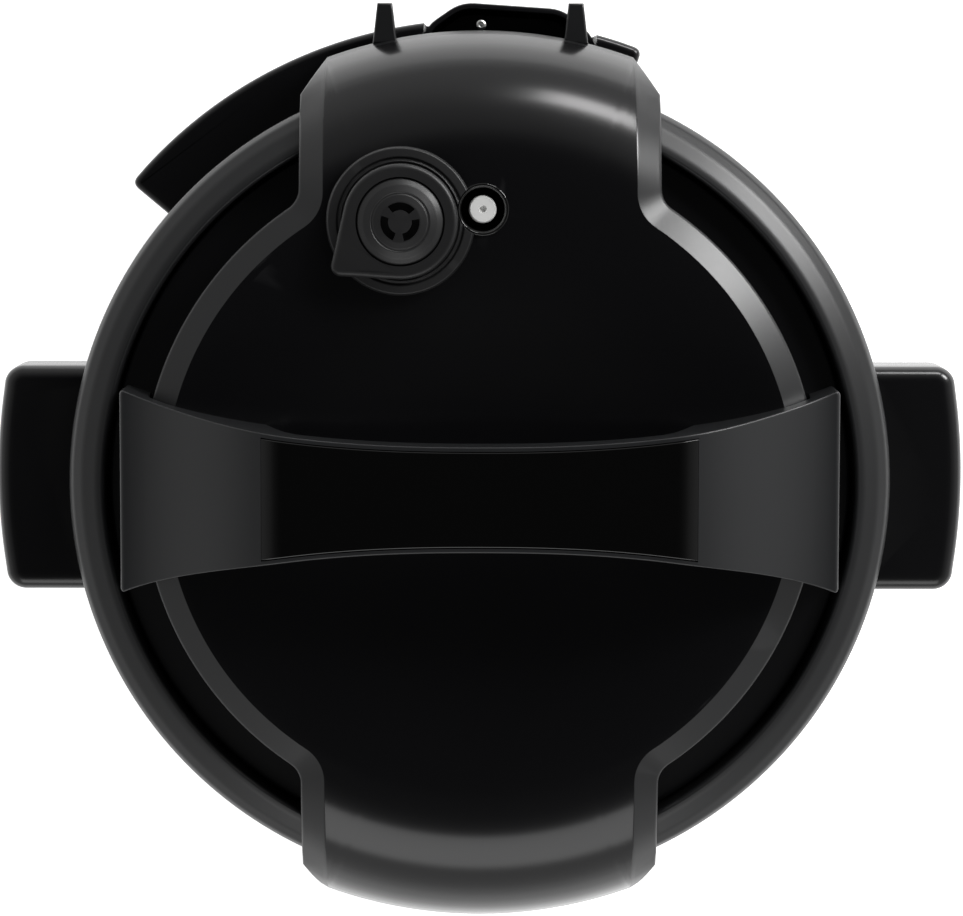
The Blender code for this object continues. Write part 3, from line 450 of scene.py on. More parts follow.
class SpringTree:
    """Geometry Nodes tree that bends round wire into a coil spring."""

    def __init__(self) -> None:
        """Builds the tree and keeps its inputs' identifiers."""
        self.tree = bpy.data.node_groups.new("coil_spring", "GeometryNodeTree")
        face = self.tree.interface
        names = ("Turns", "Coil Radius", "Wire Radius", "Height")
        self.inputs = {n: face.new_socket(n, in_out="INPUT",
                                          socket_type="NodeSocketFloat").identifier for n in names}
        self.place = face.new_socket("Place", in_out="INPUT", socket_type="NodeSocketVector").identifier
        self.finish = face.new_socket("Finish", in_out="INPUT", socket_type="NodeSocketMaterial").identifier
        face.new_socket("Spring", in_out="OUTPUT", socket_type="NodeSocketGeometry")
        sheet = Sheet(self.tree)
        given = sheet.add("NodeGroupInput")
        coil = sheet.add("GeometryNodeCurveSpiral", {
            "Resolution": 24, "Rotations": given.outputs["Turns"],
            "Start Radius": given.outputs["Coil Radius"],
            "End Radius": given.outputs["Coil Radius"], "Height": given.outputs["Height"]})
        wire = sheet.add("GeometryNodeCurvePrimitiveCircle",
                         {"Resolution": 12, "Radius": given.outputs["Wire Radius"]})
        swept = sheet.add("GeometryNodeCurveToMesh", {"Curve": coil.outputs[0],
                                                      "Profile Curve": wire.outputs[0],
                                                      "Fill Caps": True})
        placed = sheet.add("GeometryNodeTransform", {"Geometry": swept.outputs[0],
                                                     "Translation": given.outputs["Place"]})
        real = sheet.add("GeometryNodeRealizeInstances", {"Geometry": placed.outputs[0]})
        dressed = sheet.add("GeometryNodeSetMaterial", {"Geometry": real.outputs[0],
                                                        "Material": given.outputs["Finish"]})
        sheet.add("NodeGroupOutput", {"Spring": dressed.outputs[0]})

    def wind(self, name: str, turns: float, radius: float, wire: float, low: float, high: float,
             finish: bpy.types.Material) -> bpy.types.Object:
        """Winds a spring on the cooker's axis.

        Args:
            name: Name of the object.
            turns: Turns of the coil.
            radius: Radius of the coil's centreline, in mm.
            wire: Radius of the wire, in mm.
            low: Lowest point of the spring, in mm.
            high: Highest point of the spring, in mm.
            finish: Its material.

        Returns:
            The spring, as a plain mesh.
        """
        made = bpy.data.objects.new(name, bpy.data.meshes.new(name))
        bpy.context.scene.collection.objects.link(made)
        step = made.modifiers.new("Wind", "NODES")
        step.node_group = self.tree
        values = (turns, radius * MM, wire * MM, (high - low - 2 * wire) * MM)
        for identifier, value in zip(self.inputs.values(), values):
            step[identifier] = value
        step[self.place] = (0.0, AXIS_Y * MM, (low + wire) * MM)
        step[self.finish] = finish
        return bake(made)


# ---------------------------------------------------------------- finishes


class Sheet:
    """Writes nodes into one node tree."""

    def __init__(self, tree: bpy.types.NodeTree) -> None:
        """Keeps the tree."""
        self.tree = tree

    def add(self, kind: str, inputs: dict | None = None, **settings: object) -> bpy.types.Node:
        """Adds a node.

        Args:
            kind: The node's Blender type.
            inputs: Values or source sockets by input name or number.
            settings: Properties of the node.

        Returns:
            The node.
        """
        node = self.tree.nodes.new(kind)
        for key, value in settings.items():
            setattr(node, key, value)
        for key, value in (inputs or {}).items():
            if isinstance(value, bpy.types.NodeSocket):
                self.tree.links.new(value, node.inputs[key])
            else:
                node.inputs[key].default_value = value
        return node


def effect(name: str, inputs: dict[str, float], outputs: Sequence[str]) -> tuple[bpy.types.NodeTree, Sheet,
    bpy.types.Node]:
    """Starts a shared shader node group with float inputs and outputs.

    Args:
        name: The group's name.
        inputs: Its inputs with their usual values.
        outputs: Its outputs.

    Returns:
        The group, its sheet and its input node.
    """
    tree = bpy.data.node_groups.new(name, "ShaderNodeTree")
    for key, value in inputs.items():
        tree.interface.new_socket(key, in_out="INPUT", socket_type="NodeSocketFloat").default_value = value
    for key in outputs:
        tree.interface.new_socket(key, in_out="OUTPUT", socket_type="NodeSocketFloat")
    sheet = Sheet(tree)
    return tree, sheet, sheet.add("NodeGroupInput")


def mould_grain() -> bpy.types.NodeTree:
    """Fine spark-eroded texture of moulded plastic: a height and a tone that changes from place to place."""
    tree, sheet, given = effect("mould_grain", {"Scale": 1600.0}, ("Height", "Tone"))
    place = sheet.add("ShaderNodeTexCoord")
    pebbles = sheet.add("ShaderNodeTexVoronoi", {"Vector": place.outputs["Object"],
                                                 "Scale": given.outputs["Scale"]})
    haze = sheet.add("ShaderNodeTexNoise", {"Vector": place.outputs["Object"],
                                            "Scale": given.outputs["Scale"],
                                            "Detail": 3.0})
    height = sheet.add("ShaderNodeMath", {0: pebbles.outputs["Distance"], 1: haze.outputs[0]},
                       operation="ADD")
    patches = sheet.add("ShaderNodeTexNoise", {"Vector": place.outputs["Object"], "Scale": 22.0,
                                               "Detail": 4.0})
    sheet.add("NodeGroupOutput", {"Height": height.outputs[0], "Tone": patches.outputs[0]})
    return tree


def handling() -> bpy.types.NodeTree:
    """Faint smears and settled dust: a mask from 0 where clean to 1 where touched."""
    tree, sheet, given = effect("handling", {"Scale": 14.0, "Amount": 0.5}, ("Mask",))
    place = sheet.add("ShaderNodeTexCoord")
    smears = sheet.add("ShaderNodeTexNoise", {"Vector": place.outputs["Object"],
                                              "Scale": given.outputs["Scale"],
                                              "Detail": 6.0, "Roughness": 0.62, "Distortion": 0.8})
    specks = sheet.add("ShaderNodeTexNoise", {"Vector": place.outputs["Object"], "Scale": 900.0,
                                              "Detail": 2.0})
    wide = sheet.add("ShaderNodeMapRange", {0: smears.outputs[0], 1: 0.45, 2: 0.72, 3: 0.0, 4: 1.0})
    fine = sheet.add("ShaderNodeMapRange", {0: specks.outputs[0], 1: 0.6, 2: 0.75, 3: 0.0, 4: 0.5})
    both = sheet.add("ShaderNodeMath", {0: wide.outputs[0], 1: fine.outputs[0]}, operation="ADD")
    mask = sheet.add("ShaderNodeMath", {0: both.outputs[0], 1: given.outputs["Amount"]}, operation="MULTIPLY",
                     use_clamp=True)
    sheet.add("NodeGroupOutput", {"Mask": mask.outputs[0]})
    return tree


def edge_wear() -> bpy.types.NodeTree:
    """Edges that are rubbed a little lighter: a mask that is 1 on worn edges."""
    tree, sheet, given = effect("edge_wear", {"Amount": 0.5}, ("Mask",))
    shape = sheet.add("ShaderNodeNewGeometry")
    place = sheet.add("ShaderNodeTexCoord")
    edges = sheet.add("ShaderNodeMapRange", {0: shape.outputs["Pointiness"], 1: 0.52, 2: 0.62, 3: 0.0,
                                             4: 1.0})
    broken = sheet.add("ShaderNodeTexNoise", {"Vector": place.outputs["Object"], "Scale": 60.0,
                                              "Detail": 5.0})
    worn = sheet.add("ShaderNodeMath", {0: edges.outputs[0], 1: broken.outputs[0]}, operation="MULTIPLY")
    mask = sheet.add("ShaderNodeMath", {0: worn.outputs[0], 1: given.outputs["Amount"]}, operation="MULTIPLY",
                     use_clamp=True)
    sheet.add("NodeGroupOutput", {"Mask": mask.outputs[0]})
    return tree


class Grain(Enum):
    """Direction of the lines on brushed or spun metal."""

    AROUND = "around the cooker"
    RINGS = "rings about the cooker's axis"
    ALONG_X = "along X"


def brushed_lines() -> bpy.types.NodeTree:
    """Lines of brushed metal about the cooker's axis: bands around a wall and rings on a flat."""
    tree, sheet, given = effect("brushed_lines", {"Scale": 900.0}, ("Around", "Rings", "Along X"))
    place = sheet.add("ShaderNodeTexCoord")
    centred = sheet.add("ShaderNodeMapping", {"Vector": place.outputs["Object"],
                                              "Location": (0, -AXIS_Y * MM, 0)})
    parts = sheet.add("ShaderNodeSeparateXYZ", {0: centred.outputs[0]})
    angle = sheet.add("ShaderNodeMath", {0: parts.outputs["Y"], 1: parts.outputs["X"]}, operation="ARCTAN2")
    flat = sheet.add("ShaderNodeCombineXYZ", {"X": parts.outputs["X"], "Y": parts.outputs["Y"]})
    radius = sheet.add("ShaderNodeVectorMath", {0: flat.outputs[0]}, operation="LENGTH")

    def lines(along: bpy.types.NodeSocket, across: bpy.types.NodeSocket,
              stretch: float) -> bpy.types.NodeSocket:
        """Noise drawn out along one direction."""
        slow = sheet.add("ShaderNodeMath", {0: along, 1: stretch}, operation="MULTIPLY")
        fast = sheet.add("ShaderNodeMath", {0: across, 1: given.outputs["Scale"]}, operation="MULTIPLY")
        at = sheet.add("ShaderNodeCombineXYZ", {"X": slow.outputs[0], "Y": fast.outputs[0]})
        return sheet.add("ShaderNodeTexNoise", {"Vector": at.outputs[0], "Scale": 1.0,
                                                "Detail": 4.0}).outputs[0]

    sheet.add("NodeGroupOutput", {"Around": lines(angle.outputs[0], parts.outputs["Z"], 9.0),
                                  "Rings": lines(angle.outputs[0], radius.outputs["Value"], 7.0),
                                  "Along X": lines(parts.outputs["X"], parts.outputs["Y"], 25.0)})
    return tree


class Effects:
    """The shared node groups, each built once."""

    def __init__(self) -> None:
        """Builds the groups."""
        self.grain = mould_grain()
        self.handling = handling()
        self.wear = edge_wear()
        self.lines = brushed_lines()


EFFECTS = Effects()


def started(name: str) -> tuple[bpy.types.Material, Sheet, bpy.types.Node]:
    """A new material, its sheet and its Principled shader."""
    material = bpy.data.materials.new(name)
    material.use_nodes = True
    return material, Sheet(material.node_tree), material.node_tree.nodes["Principled BSDF"]


def link(sheet: Sheet, source: bpy.types.NodeSocket, target: bpy.types.NodeSocket) -> None:
    """Links one socket to another."""
    sheet.tree.links.new(source, target)


@dataclass(frozen=True)
class Plastic:
    """Moulded plastic, satin or gloss.

    Attributes:
        name: The material's name.
        colour: Its colour.
        worn: Its colour on rubbed edges.
        roughness: Roughness where it is clean.
        smear: How much smears and dust add to the roughness.
        grain: Scale of the mould's texture, per metre.
        relief: Depth of that texture, in mm.
        wear: Amount of edge wear.
        coat: Weight of a clear gloss coat.
    """

    name: str
    colour: Colour
    worn: Colour
    roughness: float
    smear: float = 0.06
    grain: float = 1600.0
    relief: float = 0.01
    wear: float = 0.6
    coat: float = 0.0

    def build(self) -> bpy.types.Material:
        """Builds the material."""
        material, sheet, shader = started(self.name)
        grain = sheet.add("ShaderNodeGroup", {}, node_tree=EFFECTS.grain)
        grain.inputs["Scale"].default_value = self.grain
        touched = sheet.add("ShaderNodeGroup", {}, node_tree=EFFECTS.handling)
        rubbed = sheet.add("ShaderNodeGroup", {}, node_tree=EFFECTS.wear)
        rubbed.inputs["Amount"].default_value = self.wear
        darker = tuple(value * 0.8 for value in self.colour)
        base = sheet.add("ShaderNodeMix", {0: grain.outputs["Tone"], 6: (*darker, 1), 7: (*self.colour, 1)},
                         data_type="RGBA")
        colour = sheet.add("ShaderNodeMix", {0: rubbed.outputs["Mask"], 6: base.outputs[2],
                                             7: (*self.worn, 1)},
                           data_type="RGBA")
        link(sheet, colour.outputs[2], shader.inputs["Base Color"])
        roughness = sheet.add("ShaderNodeMapRange", {0: touched.outputs["Mask"], 1: 0.0, 2: 1.0,
                                                     3: self.roughness,
                                                     4: self.roughness + self.smear})
        link(sheet, roughness.outputs[0], shader.inputs["Roughness"])
        bump = sheet.add("ShaderNodeBump", {"Height": grain.outputs["Height"], "Distance": self.relief * MM,
                                            "Strength": 0.6})
        link(sheet, bump.outputs[0], shader.inputs["Normal"])
        shader.inputs["Coat Weight"].default_value = self.coat
        shader.inputs["Coat Roughness"].default_value = 0.04
        return material


@dataclass(frozen=True)
class Metal:
    """Brushed, spun or cast metal.

    Attributes:
        name: The material's name.
        colour: Its colour.
        roughness: Its usual roughness.
        grain: Direction of its lines, or None for cast metal.
        scale: Lines per metre, or scale of the cast texture.
        relief: Depth of the lines, in mm.
    """

    name: str
    colour: Colour
    roughness: float
    grain: Grain | None = Grain.RINGS
    scale: float = 900.0
    relief: float = 0.004

    def build(self) -> bpy.types.Material:
        """Builds the material."""
        material, sheet, shader = started(self.name)
        if self.grain is None:
            cast = sheet.add("ShaderNodeGroup", {}, node_tree=EFFECTS.grain)
            cast.inputs["Scale"].default_value = self.scale
            height = cast.outputs["Height"]
        else:
            lines = sheet.add("ShaderNodeGroup", {}, node_tree=EFFECTS.lines)
            lines.inputs["Scale"].default_value = self.scale
            height = lines.outputs[list(Grain).index(self.grain)]
        touched = sheet.add("ShaderNodeGroup", {}, node_tree=EFFECTS.handling)
        darker = tuple(value * 0.82 for value in self.colour)
        tone = sheet.add("ShaderNodeMix", {0: height, 6: (*darker, 1), 7: (*self.colour, 1)},
                         data_type="RGBA")
        link(sheet, tone.outputs[2], shader.inputs["Base Color"])
        spread = sheet.add("ShaderNodeMath", {0: height, 1: touched.outputs["Mask"]}, operation="ADD")
        roughness = sheet.add("ShaderNodeMapRange", {0: spread.outputs[0], 1: 0.3, 2: 1.4,
                                                     3: self.roughness * 0.8,
                                                     4: self.roughness * 1.35})
        link(sheet, roughness.outputs[0], shader.inputs["Roughness"])
        bump = sheet.add("ShaderNodeBump", {"Height": height, "Distance": self.relief * MM, "Strength": 0.5})
        link(sheet, bump.outputs[0], shader.inputs["Normal"])
        shader.inputs["Metallic"].default_value = 1.0
        return material


@dataclass(frozen=True)
class Rubber:
    """Silicone or rubber, with a soft sheen and settled dust.

    Attributes:
        name: The material's name.
        colour: Its colour.
        roughness: Its roughness.
        scatter: Weight of light that passes under the surface.
    """

    name: str
    colour: Colour
    roughness: float
    scatter: float = 0.0

    def build(self) -> bpy.types.Material:
        """Builds the material."""
        material, sheet, shader = started(self.name)
        touched = sheet.add("ShaderNodeGroup", {}, node_tree=EFFECTS.handling)
        grain = sheet.add("ShaderNodeGroup", {}, node_tree=EFFECTS.grain)
        grain.inputs["Scale"].default_value = 1100.0
        dusty = tuple(value * 0.85 + 0.03 for value in self.colour)
        colour = sheet.add("ShaderNodeMix", {0: touched.outputs["Mask"], 6: (*self.colour, 1),
                                             7: (*dusty, 1)},
                           data_type="RGBA")
        link(sheet, colour.outputs[2], shader.inputs["Base Color"])
        roughness = sheet.add("ShaderNodeMapRange", {0: grain.outputs["Tone"], 1: 0.2, 2: 0.8,
                                                     3: self.roughness - 0.06, 4: self.roughness + 0.08})
        link(sheet, roughness.outputs[0], shader.inputs["Roughness"])
        bump = sheet.add("ShaderNodeBump", {"Height": grain.outputs["Height"], "Distance": 0.02 * MM,
                                            "Strength": 0.5})
        link(sheet, bump.outputs[0], shader.inputs["Normal"])
        shader.inputs["Sheen Weight"].default_value = 0.15
        shader.inputs["Subsurface Weight"].default_value = self.scatter
        shader.inputs["Subsurface Radius"].default_value = (0.004, 0.004, 0.004)
        return material


@dataclass(frozen=True)
class CircuitBoard:
    """Green solder mask over copper tracks."""

    name: str = "circuit_board"

    def build(self) -> bpy.types.Material:
        """Builds the material."""
        material, sheet, shader = started(self.name)
        place = sheet.add("ShaderNodeTexCoord")
        tracks = sheet.add("ShaderNodeTexVoronoi", {"Vector": place.outputs["Object"], "Scale": 160.0},
                           distance="MANHATTAN", feature="F1")
        edges = sheet.add("ShaderNodeMapRange", {0: tracks.outputs["Distance"], 1: 0.42, 2: 0.5, 3: 0.0,
                                                 4: 1.0})
        colour = sheet.add("ShaderNodeMix", {0: edges.outputs[0], 6: (0.012, 0.11, 0.045, 1),
                                             7: (0.05, 0.24, 0.09, 1)},
                           data_type="RGBA")
        link(sheet, colour.outputs[2], shader.inputs["Base Color"])
        roughness = sheet.add("ShaderNodeMapRange", {0: edges.outputs[0], 1: 0.0, 2: 1.0, 3: 0.32, 4: 0.45})
        link(sheet, roughness.outputs[0], shader.inputs["Roughness"])
        bump = sheet.add("ShaderNodeBump", {"Height": edges.outputs[0], "Distance": 0.05 * MM})
        link(sheet, bump.outputs[0], shader.inputs["Normal"])
        return material


class Looks:
    """Every finish of the cooker, built once."""

    def __init__(self) -> None:
        """Builds the materials."""
        ink = (0.62, 0.64, 0.66)
        self.cover = Plastic("cover_gloss_black", (0.0035, 0.0035, 0.004), (0.02, 0.02, 0.021), 0.2, 0.02,
                             grain=2400.0, relief=0.002).build()
        self.band = Plastic("cover_satin_band", (0.011, 0.0113, 0.012), (0.03, 0.03, 0.031), 0.3).build()
        self.handle = Plastic("handle_satin", (0.0105, 0.011, 0.012), (0.03, 0.03, 0.031), 0.36, 0.04,
                              relief=0.006).build()
        self.insert = Plastic("insert_piano_black", (0.002, 0.002, 0.002), (0.01, 0.01, 0.01), 0.05, 0.02,
                              grain=600.0, relief=0.0008, wear=0.2, coat=0.4).build()
        self.valve = Plastic("valve_satin", (0.008, 0.008, 0.0085), (0.025, 0.025, 0.026), 0.4,
                             relief=0.008).build()
        self.collar = Plastic("collar_satin", (0.0095, 0.0098, 0.0105), (0.03, 0.03, 0.032), 0.34,
                              relief=0.006).build()
        self.housing = Plastic("housing_gloss", (0.004, 0.004, 0.0045), (0.02, 0.02, 0.02), 0.22,
                               relief=0.003).build()
        self.cup = Plastic("cup_smoke", (0.006, 0.006, 0.007), (0.02, 0.02, 0.02), 0.16, relief=0.002,
                           coat=0.2).build()
        self.base = Plastic("base_matt", (0.011, 0.011, 0.012), (0.03, 0.03, 0.03), 0.5, relief=0.02).build()
        self.panel = Plastic("panel_gloss", (0.003, 0.003, 0.0035), (0.01, 0.01, 0.01), 0.07, 0.03,
                             grain=700.0,
                             relief=0.0008, wear=0.2, coat=0.6).build()
        self.lens = Plastic("lens_smoke", (0.001, 0.0015, 0.002), (0.01, 0.01, 0.01), 0.03, 0.02, grain=500.0,
                            relief=0.0004, wear=0.0, coat=1.0).build()
        self.button = Plastic("button_satin", (0.02, 0.02, 0.021), (0.05, 0.05, 0.05), 0.38,
                              relief=0.006).build()
        self.ink = Plastic("printed_ink", ink, ink, 0.5, grain=3000.0, relief=0.002, wear=0.0).build()
        self.dim = Plastic("display_segments", (0.05, 0.075, 0.08), (0.05, 0.075, 0.08), 0.3, wear=0.0,
                           relief=0.001).build()
        # Flat black that paints the shade inside holes and recesses: the float well's floor, the anti-block
        # shield's holes and the base vents.
        self.dark = Plastic("painted_recess_shade", (0.002, 0.002, 0.002), (0.004, 0.004, 0.004), 0.6,
                            wear=0.0).build()
        self.grey = Plastic("switch_grey", (0.16, 0.16, 0.165), (0.25, 0.25, 0.25), 0.45).build()
        self.shell = Metal("shell_brushed_steel", (0.6, 0.595, 0.585), 0.3, Grain.AROUND, 1500.0).build()
        self.pot = Metal("pot_spun_steel", (0.66, 0.655, 0.645), 0.24, Grain.RINGS, 1100.0).build()
        self.pot_wall = Metal("pot_wall_steel", (0.66, 0.655, 0.645), 0.22, Grain.AROUND, 1100.0).build()
        self.screw = Metal("screw_steel", (0.55, 0.55, 0.54), 0.3, Grain.RINGS, 2500.0).build()
        self.float = Plastic("float_white", (0.78, 0.78, 0.77), (0.85, 0.85, 0.85), 0.35,
                             relief=0.004).build()
        self.cast = Metal("cast_aluminium", (0.7, 0.7, 0.71), 0.42, None, 1500.0, 0.03).build()
        self.liner = Metal("liner_aluminium", (0.72, 0.72, 0.72), 0.36, Grain.AROUND, 700.0).build()
        self.brass = Metal("brass", (0.74, 0.53, 0.24), 0.3, Grain.ALONG_X, 1200.0).build()
        self.silicone = Rubber("clear_silicone", (0.74, 0.76, 0.77), 0.48, 0.25).build()
        self.rubber = Rubber("foot_rubber", (0.02, 0.02, 0.021), 0.75).build()
        self.board = CircuitBoard().build()


LOOKS = Looks()
REPEAT = RepeatTree()


def dress(piece: bpy.types.Object, body: str, finish: bpy.types.Material | None, *nodes: str,
          slot: str | None = None,
          sharp: float = 40.0) -> bpy.types.Object:
    """Finishes a piece: shading, material, the body it rides on and the CAD nodes that it stands for.

    Args:
        piece: The piece.
        body: The CAD body.
        finish: Its material, or None where the mesh has its materials already.
        nodes: The CAD nodes that it replaces.
        slot: Not used.
        sharp: Edges over this angle, in degrees, stay sharp.

    Returns:
        The piece.
    """
    if finish is not None:
        piece.data.materials.clear()
        piece.data.materials.append(finish)
    piece.data.shade_smooth()
    piece.data.set_sharp_from_angle(angle=math.radians(sharp))
    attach(piece, body)
    if nodes:
        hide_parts(*nodes)
    LOG.info("%s: %d faces on %s", piece.name, len(piece.data.polygons), body)
    return piece


# ---------------------------------------------------------------- lid


SHOULDER = (
    (DISH_R - 6, CREST_Z),
    (CREST_R, CREST_Z),
    (CREST_R + 12, CREST_Z - 1.0),
    (BRIM_R, CREST_Z - 3.7),
    (COLLAR_R - 7, CREST_Z - 7.4),
    (COLLAR_R, CREST_Z - 12.8),
    (COLLAR_R + 6, CREST_Z - 19.5),
    (LOBE_R - 3.5, CREST_Z - 29.0),
    (LOBE_R, LOBE_RIM_Z),
)


def within(x: float, y: float, plan: Plan) -> bool:
    """Whether a point lies inside a closed plan.

    Args:
        x: Its X, in mm.
        y: Its Y, in mm.
        plan: The plan's points.

    Returns:
        True inside the plan.
    """
    inside = False
    for (x0, y0), (x1, y1) in zip(plan, plan[1:] + plan[:1]):
        if (y0 > y) != (y1 > y) and x < x0 + (y - y0) * (x1 - x0) / (y1 - y0):
            inside = not inside
    return inside


@dataclass
class LidCover:
    """The lid's cover: a dished disc with a chamfered band and two lobes that reach over the collar.

    Attributes:
        dish: Depth of the dish, in mm.
        drop: Fall of the band from crest to edge, in mm.
        side: Half width of the lobes at their foot, in mm.
        top_side: Half width of the lobes at their crest, in mm.
        neck: Fillet between the round body and a lobe, in mm.
        corner: How far along the lobe's side its cut corner starts, in mm.
        fin_x: Place of the two rear fins, in mm.
    """

    dish: float = 8.0
    drop: float = 4.0
    side: float = 62.0
    top_side: float = 53.5
    neck: float = 8.0
    corner: float = 13.0
    fin_x: float = 33.4

    def top(self, radius: float) -> float:
        """Height of the upper surface at a radius."""
        if radius < DISH_R:
            return CREST_Z - self.dish * math.cos(math.pi * radius / (2 * DISH_R)) ** 2
        return curve_through(SHOULDER, radius)

    def seat(self, radius: float) -> float:
        """Height of what stands under the handle at a radius: the dish, the band or the brim."""
        if radius > BAND_R + 0.6:
            return BRIM_Z
        return self.top(radius) - self.drop * max(0.0, (radius - CREST_R) / (BAND_R - CREST_R))

    def quarter(self, circle_r: float, side_x: float, neck_r: float, rim_r: float, corner: float) -> Plan:
        """A quarter of the cover's plan, from +X round to +Y.

        Args:
            circle_r: Radius of the round body.
            side_x: Half width of the lobe.
            neck_r: Fillet between them.
            rim_r: Radius of the lobe's rim.
            corner: Length of the cut corner.

        Returns:
            Points with the same count for any sizes.
        """
        neck_y = math.sqrt((circle_r + neck_r) ** 2 - (side_x + neck_r) ** 2)
        angle = math.degrees(math.atan2(neck_y, side_x + neck_r))
        rim_x = min(side_x, self.top_side)
        rim_y = math.sqrt(rim_r**2 - rim_x**2)
        side_end = rim_y - corner
        body = arc((0, 0), circle_r, 0, angle, 40)[:-1]
        neck = arc((side_x + neck_r, neck_y), neck_r, angle + 180, 180, 10)[:-1]
        side = [(side_x, neck_y + (side_end - neck_y) * i / 12) for i in range(12)]
        cut_corner = [(side_x + (rim_x - side_x) * i / 6,
                       side_end + (rim_y - side_end) * i / 6) for i in range(6)]
        rim = arc((0, 0), rim_r, math.degrees(math.atan2(rim_y, rim_x)), 90, 28)
        return body + neck + side + cut_corner + rim

    def outline(self, *sizes: float) -> Plan:
        """The whole plan, mirrored from its quarter. It takes the quarter's sizes."""
        quarter = self.quarter(*sizes)
        upper = quarter + [(-x, y) for x, y in reversed(quarter[:-1])]
        return upper + [(x, -y) for x, y in reversed(upper[1:-1])]

    def make(self) -> None:
        """Builds the cover, its brim, its fins and the lips of its holes."""
        edge = self.outline(BAND_R, self.side, self.neck, LOBE_R, self.corner)
        crest = self.outline(CREST_R, self.top_side, self.neck + 6, LOBE_R - 1.2, self.corner / 2)
        sections = [self.section(e, c) for e, c in zip(edge, crest)]
        outer = [[section[k] for section in sections] for k in range(len(sections[0]))]
        under = [[self.inside(point, ring is outer[-1]) for point in ring] for ring in outer]
        skin = [[Vector((0, 0, self.top(0)))]] + outer + under[::-1] + [[Vector((0, 0, self.top(0) - WALL))]]
        cover = loft("cover_shell", skin)
        cut(cover, drum(8.0, BRIM_Z - 8, CREST_Z + 8, FLOAT, 64),
            drum(4.6, BRIM_Z - 8, CREST_Z + 8, VALVE, 48))
        self.paint(cover, crest)
        dress(cover, "lid", None, "lid_cover", slot="cover_plastic", sharp=50)
        brim = turned("cover_brim", [
            (BAND_R - 1.2, BRIM_Z), (BRIM_R, BRIM_Z - 1.2), (BRIM_R, LID_PLATE_Z - 4),
            (SKIRT_R + 0.8, LID_PLATE_Z - 4),
            (SKIRT_R + 0.8, BRIM_Z - 3.6), (BAND_R - 1.2, BRIM_Z - 3.6)], 0.8)
        dress(brim, "lid", LOOKS.cover, slot="cover_plastic")
        root = math.sqrt(LOBE_R**2 - self.fin_x**2) - 1.0
        for side, word in ((-1, "left"), (1, "right")):
            x = side * self.fin_x
            outline = divided([(x - 4.2, root), (x + 4.2, root), (x + 2.6, REAR_REACH),
                               (x - 2.6, REAR_REACH)], 2.5)
            fin = plate(f"cover_fin_{word}", outline, LOBE_LOW_Z + 2, LOBE_RIM_Z + 2, 0.8, upright)
            dress(fin, "lid", LOOKS.band, slot="cover_plastic")
        lip_z = self.top(math.hypot(*FLOAT))
        lip = turned("float_well_lip", [(7.2, lip_z - 7), (8.1, lip_z - 7), (8.3, lip_z - 0.4),
                                        (9.0, lip_z + 0.3),
                                        (8.1, lip_z + 0.5), (7.4, lip_z - 0.6)], 0.3, FLOAT, 72)
        dress(lip, "lid", LOOKS.insert, slot="cover_plastic")
        # A floor for the float well in the flat black that paints the well's shade.
        floor = turned("float_well_shade_floor", [(0, BRIM_Z - 2.4), (7.6, BRIM_Z - 2.4), (7.6, BRIM_Z - 4),
                                            (0, BRIM_Z - 4)],
                       0.3, FLOAT, 48)
        dress(floor, "lid", LOOKS.dark, slot="cover_plastic")

    def foot(self, radius: float) -> float:
        """Height of the cover's lower edge, which follows the brim and the collar."""
        table = ((BAND_R + 1, BRIM_Z - 2), (BRIM_R - 3, COLLAR_Z + 2), (COLLAR_IN_R, COLLAR_Z + 2),
                 (COLLAR_R - 1, COLLAR_EDGE_Z + 3), (COLLAR_R + 2.2, COLLAR_EDGE_Z + 1.4),
                 (COLLAR_R + 4.6, LOBE_LOW_Z))
        if radius <= table[0][0]:
            return table[0][1]
        for (r0, z0), (r1, z1) in zip(table, table[1:]):
            if radius <= r1:
                return z0 + (z1 - z0) * (radius - r0) / (r1 - r0)
        return table[-1][1]

    def section(self, edge: tuple[float, float], crest: tuple[float, float]) -> list[Vector]:
        """One section of the outer skin, from near the middle out and down to the foot.

        Args:
            edge: Plan point of the outer edge.
            crest: Plan point where the band starts.

        Returns:
            The section's points, with the same count for every section.
        """
        crest_r, edge_r = math.hypot(*crest), math.hypot(*edge)
        way = (crest[0] / crest_r, crest[1] / crest_r)
        radii = [DISH_R * share for share in (0.04, 0.1, 0.18, 0.27, 0.36, 0.45, 0.54, 0.62, 0.7, 0.77, 0.84,
                                              0.9, 0.95)]
        radii += [DISH_R + (crest_r - DISH_R) * i / 16 for i in range(16)]
        points = [(way[0] * r, way[1] * r, self.top(r)) for r in radii]
        fall = self.drop * (1 - smooth((edge_r - COLLAR_R) / (LOBE_R - COLLAR_R)))
        points.append((*crest, self.top(crest_r)))
        points.append((*edge, self.top(edge_r) - fall))
        points.append((*edge, self.foot(edge_r)))
        radii_of = [0.0] * (len(points) - 3) + [1.3, 1.0, 0.0]
        return rounded(points, radii_of, False)

    def inside(self, point: Vector, at_foot: bool) -> Vector:
        """The point of the cover's inner skin under a point of its outer skin."""
        radius = math.hypot(point.x, point.y)
        share = 1 - WALL / max(radius, WALL * 3)
        return Vector((point.x * share, point.y * share, point.z - (0.0 if at_foot else WALL)))

    def paint(self, cover: bpy.types.Object, crest: Plan) -> None:
        """Gives the top its gloss inside the crest and the band and the walls outside it their satin."""
        cover.data.materials.clear()
        cover.data.materials.append(LOOKS.cover)
        cover.data.materials.append(LOOKS.band)
        for face in cover.data.polygons:
            face.material_index = int(not within(face.center.x / MM, face.center.y / MM - AXIS_Y, crest))


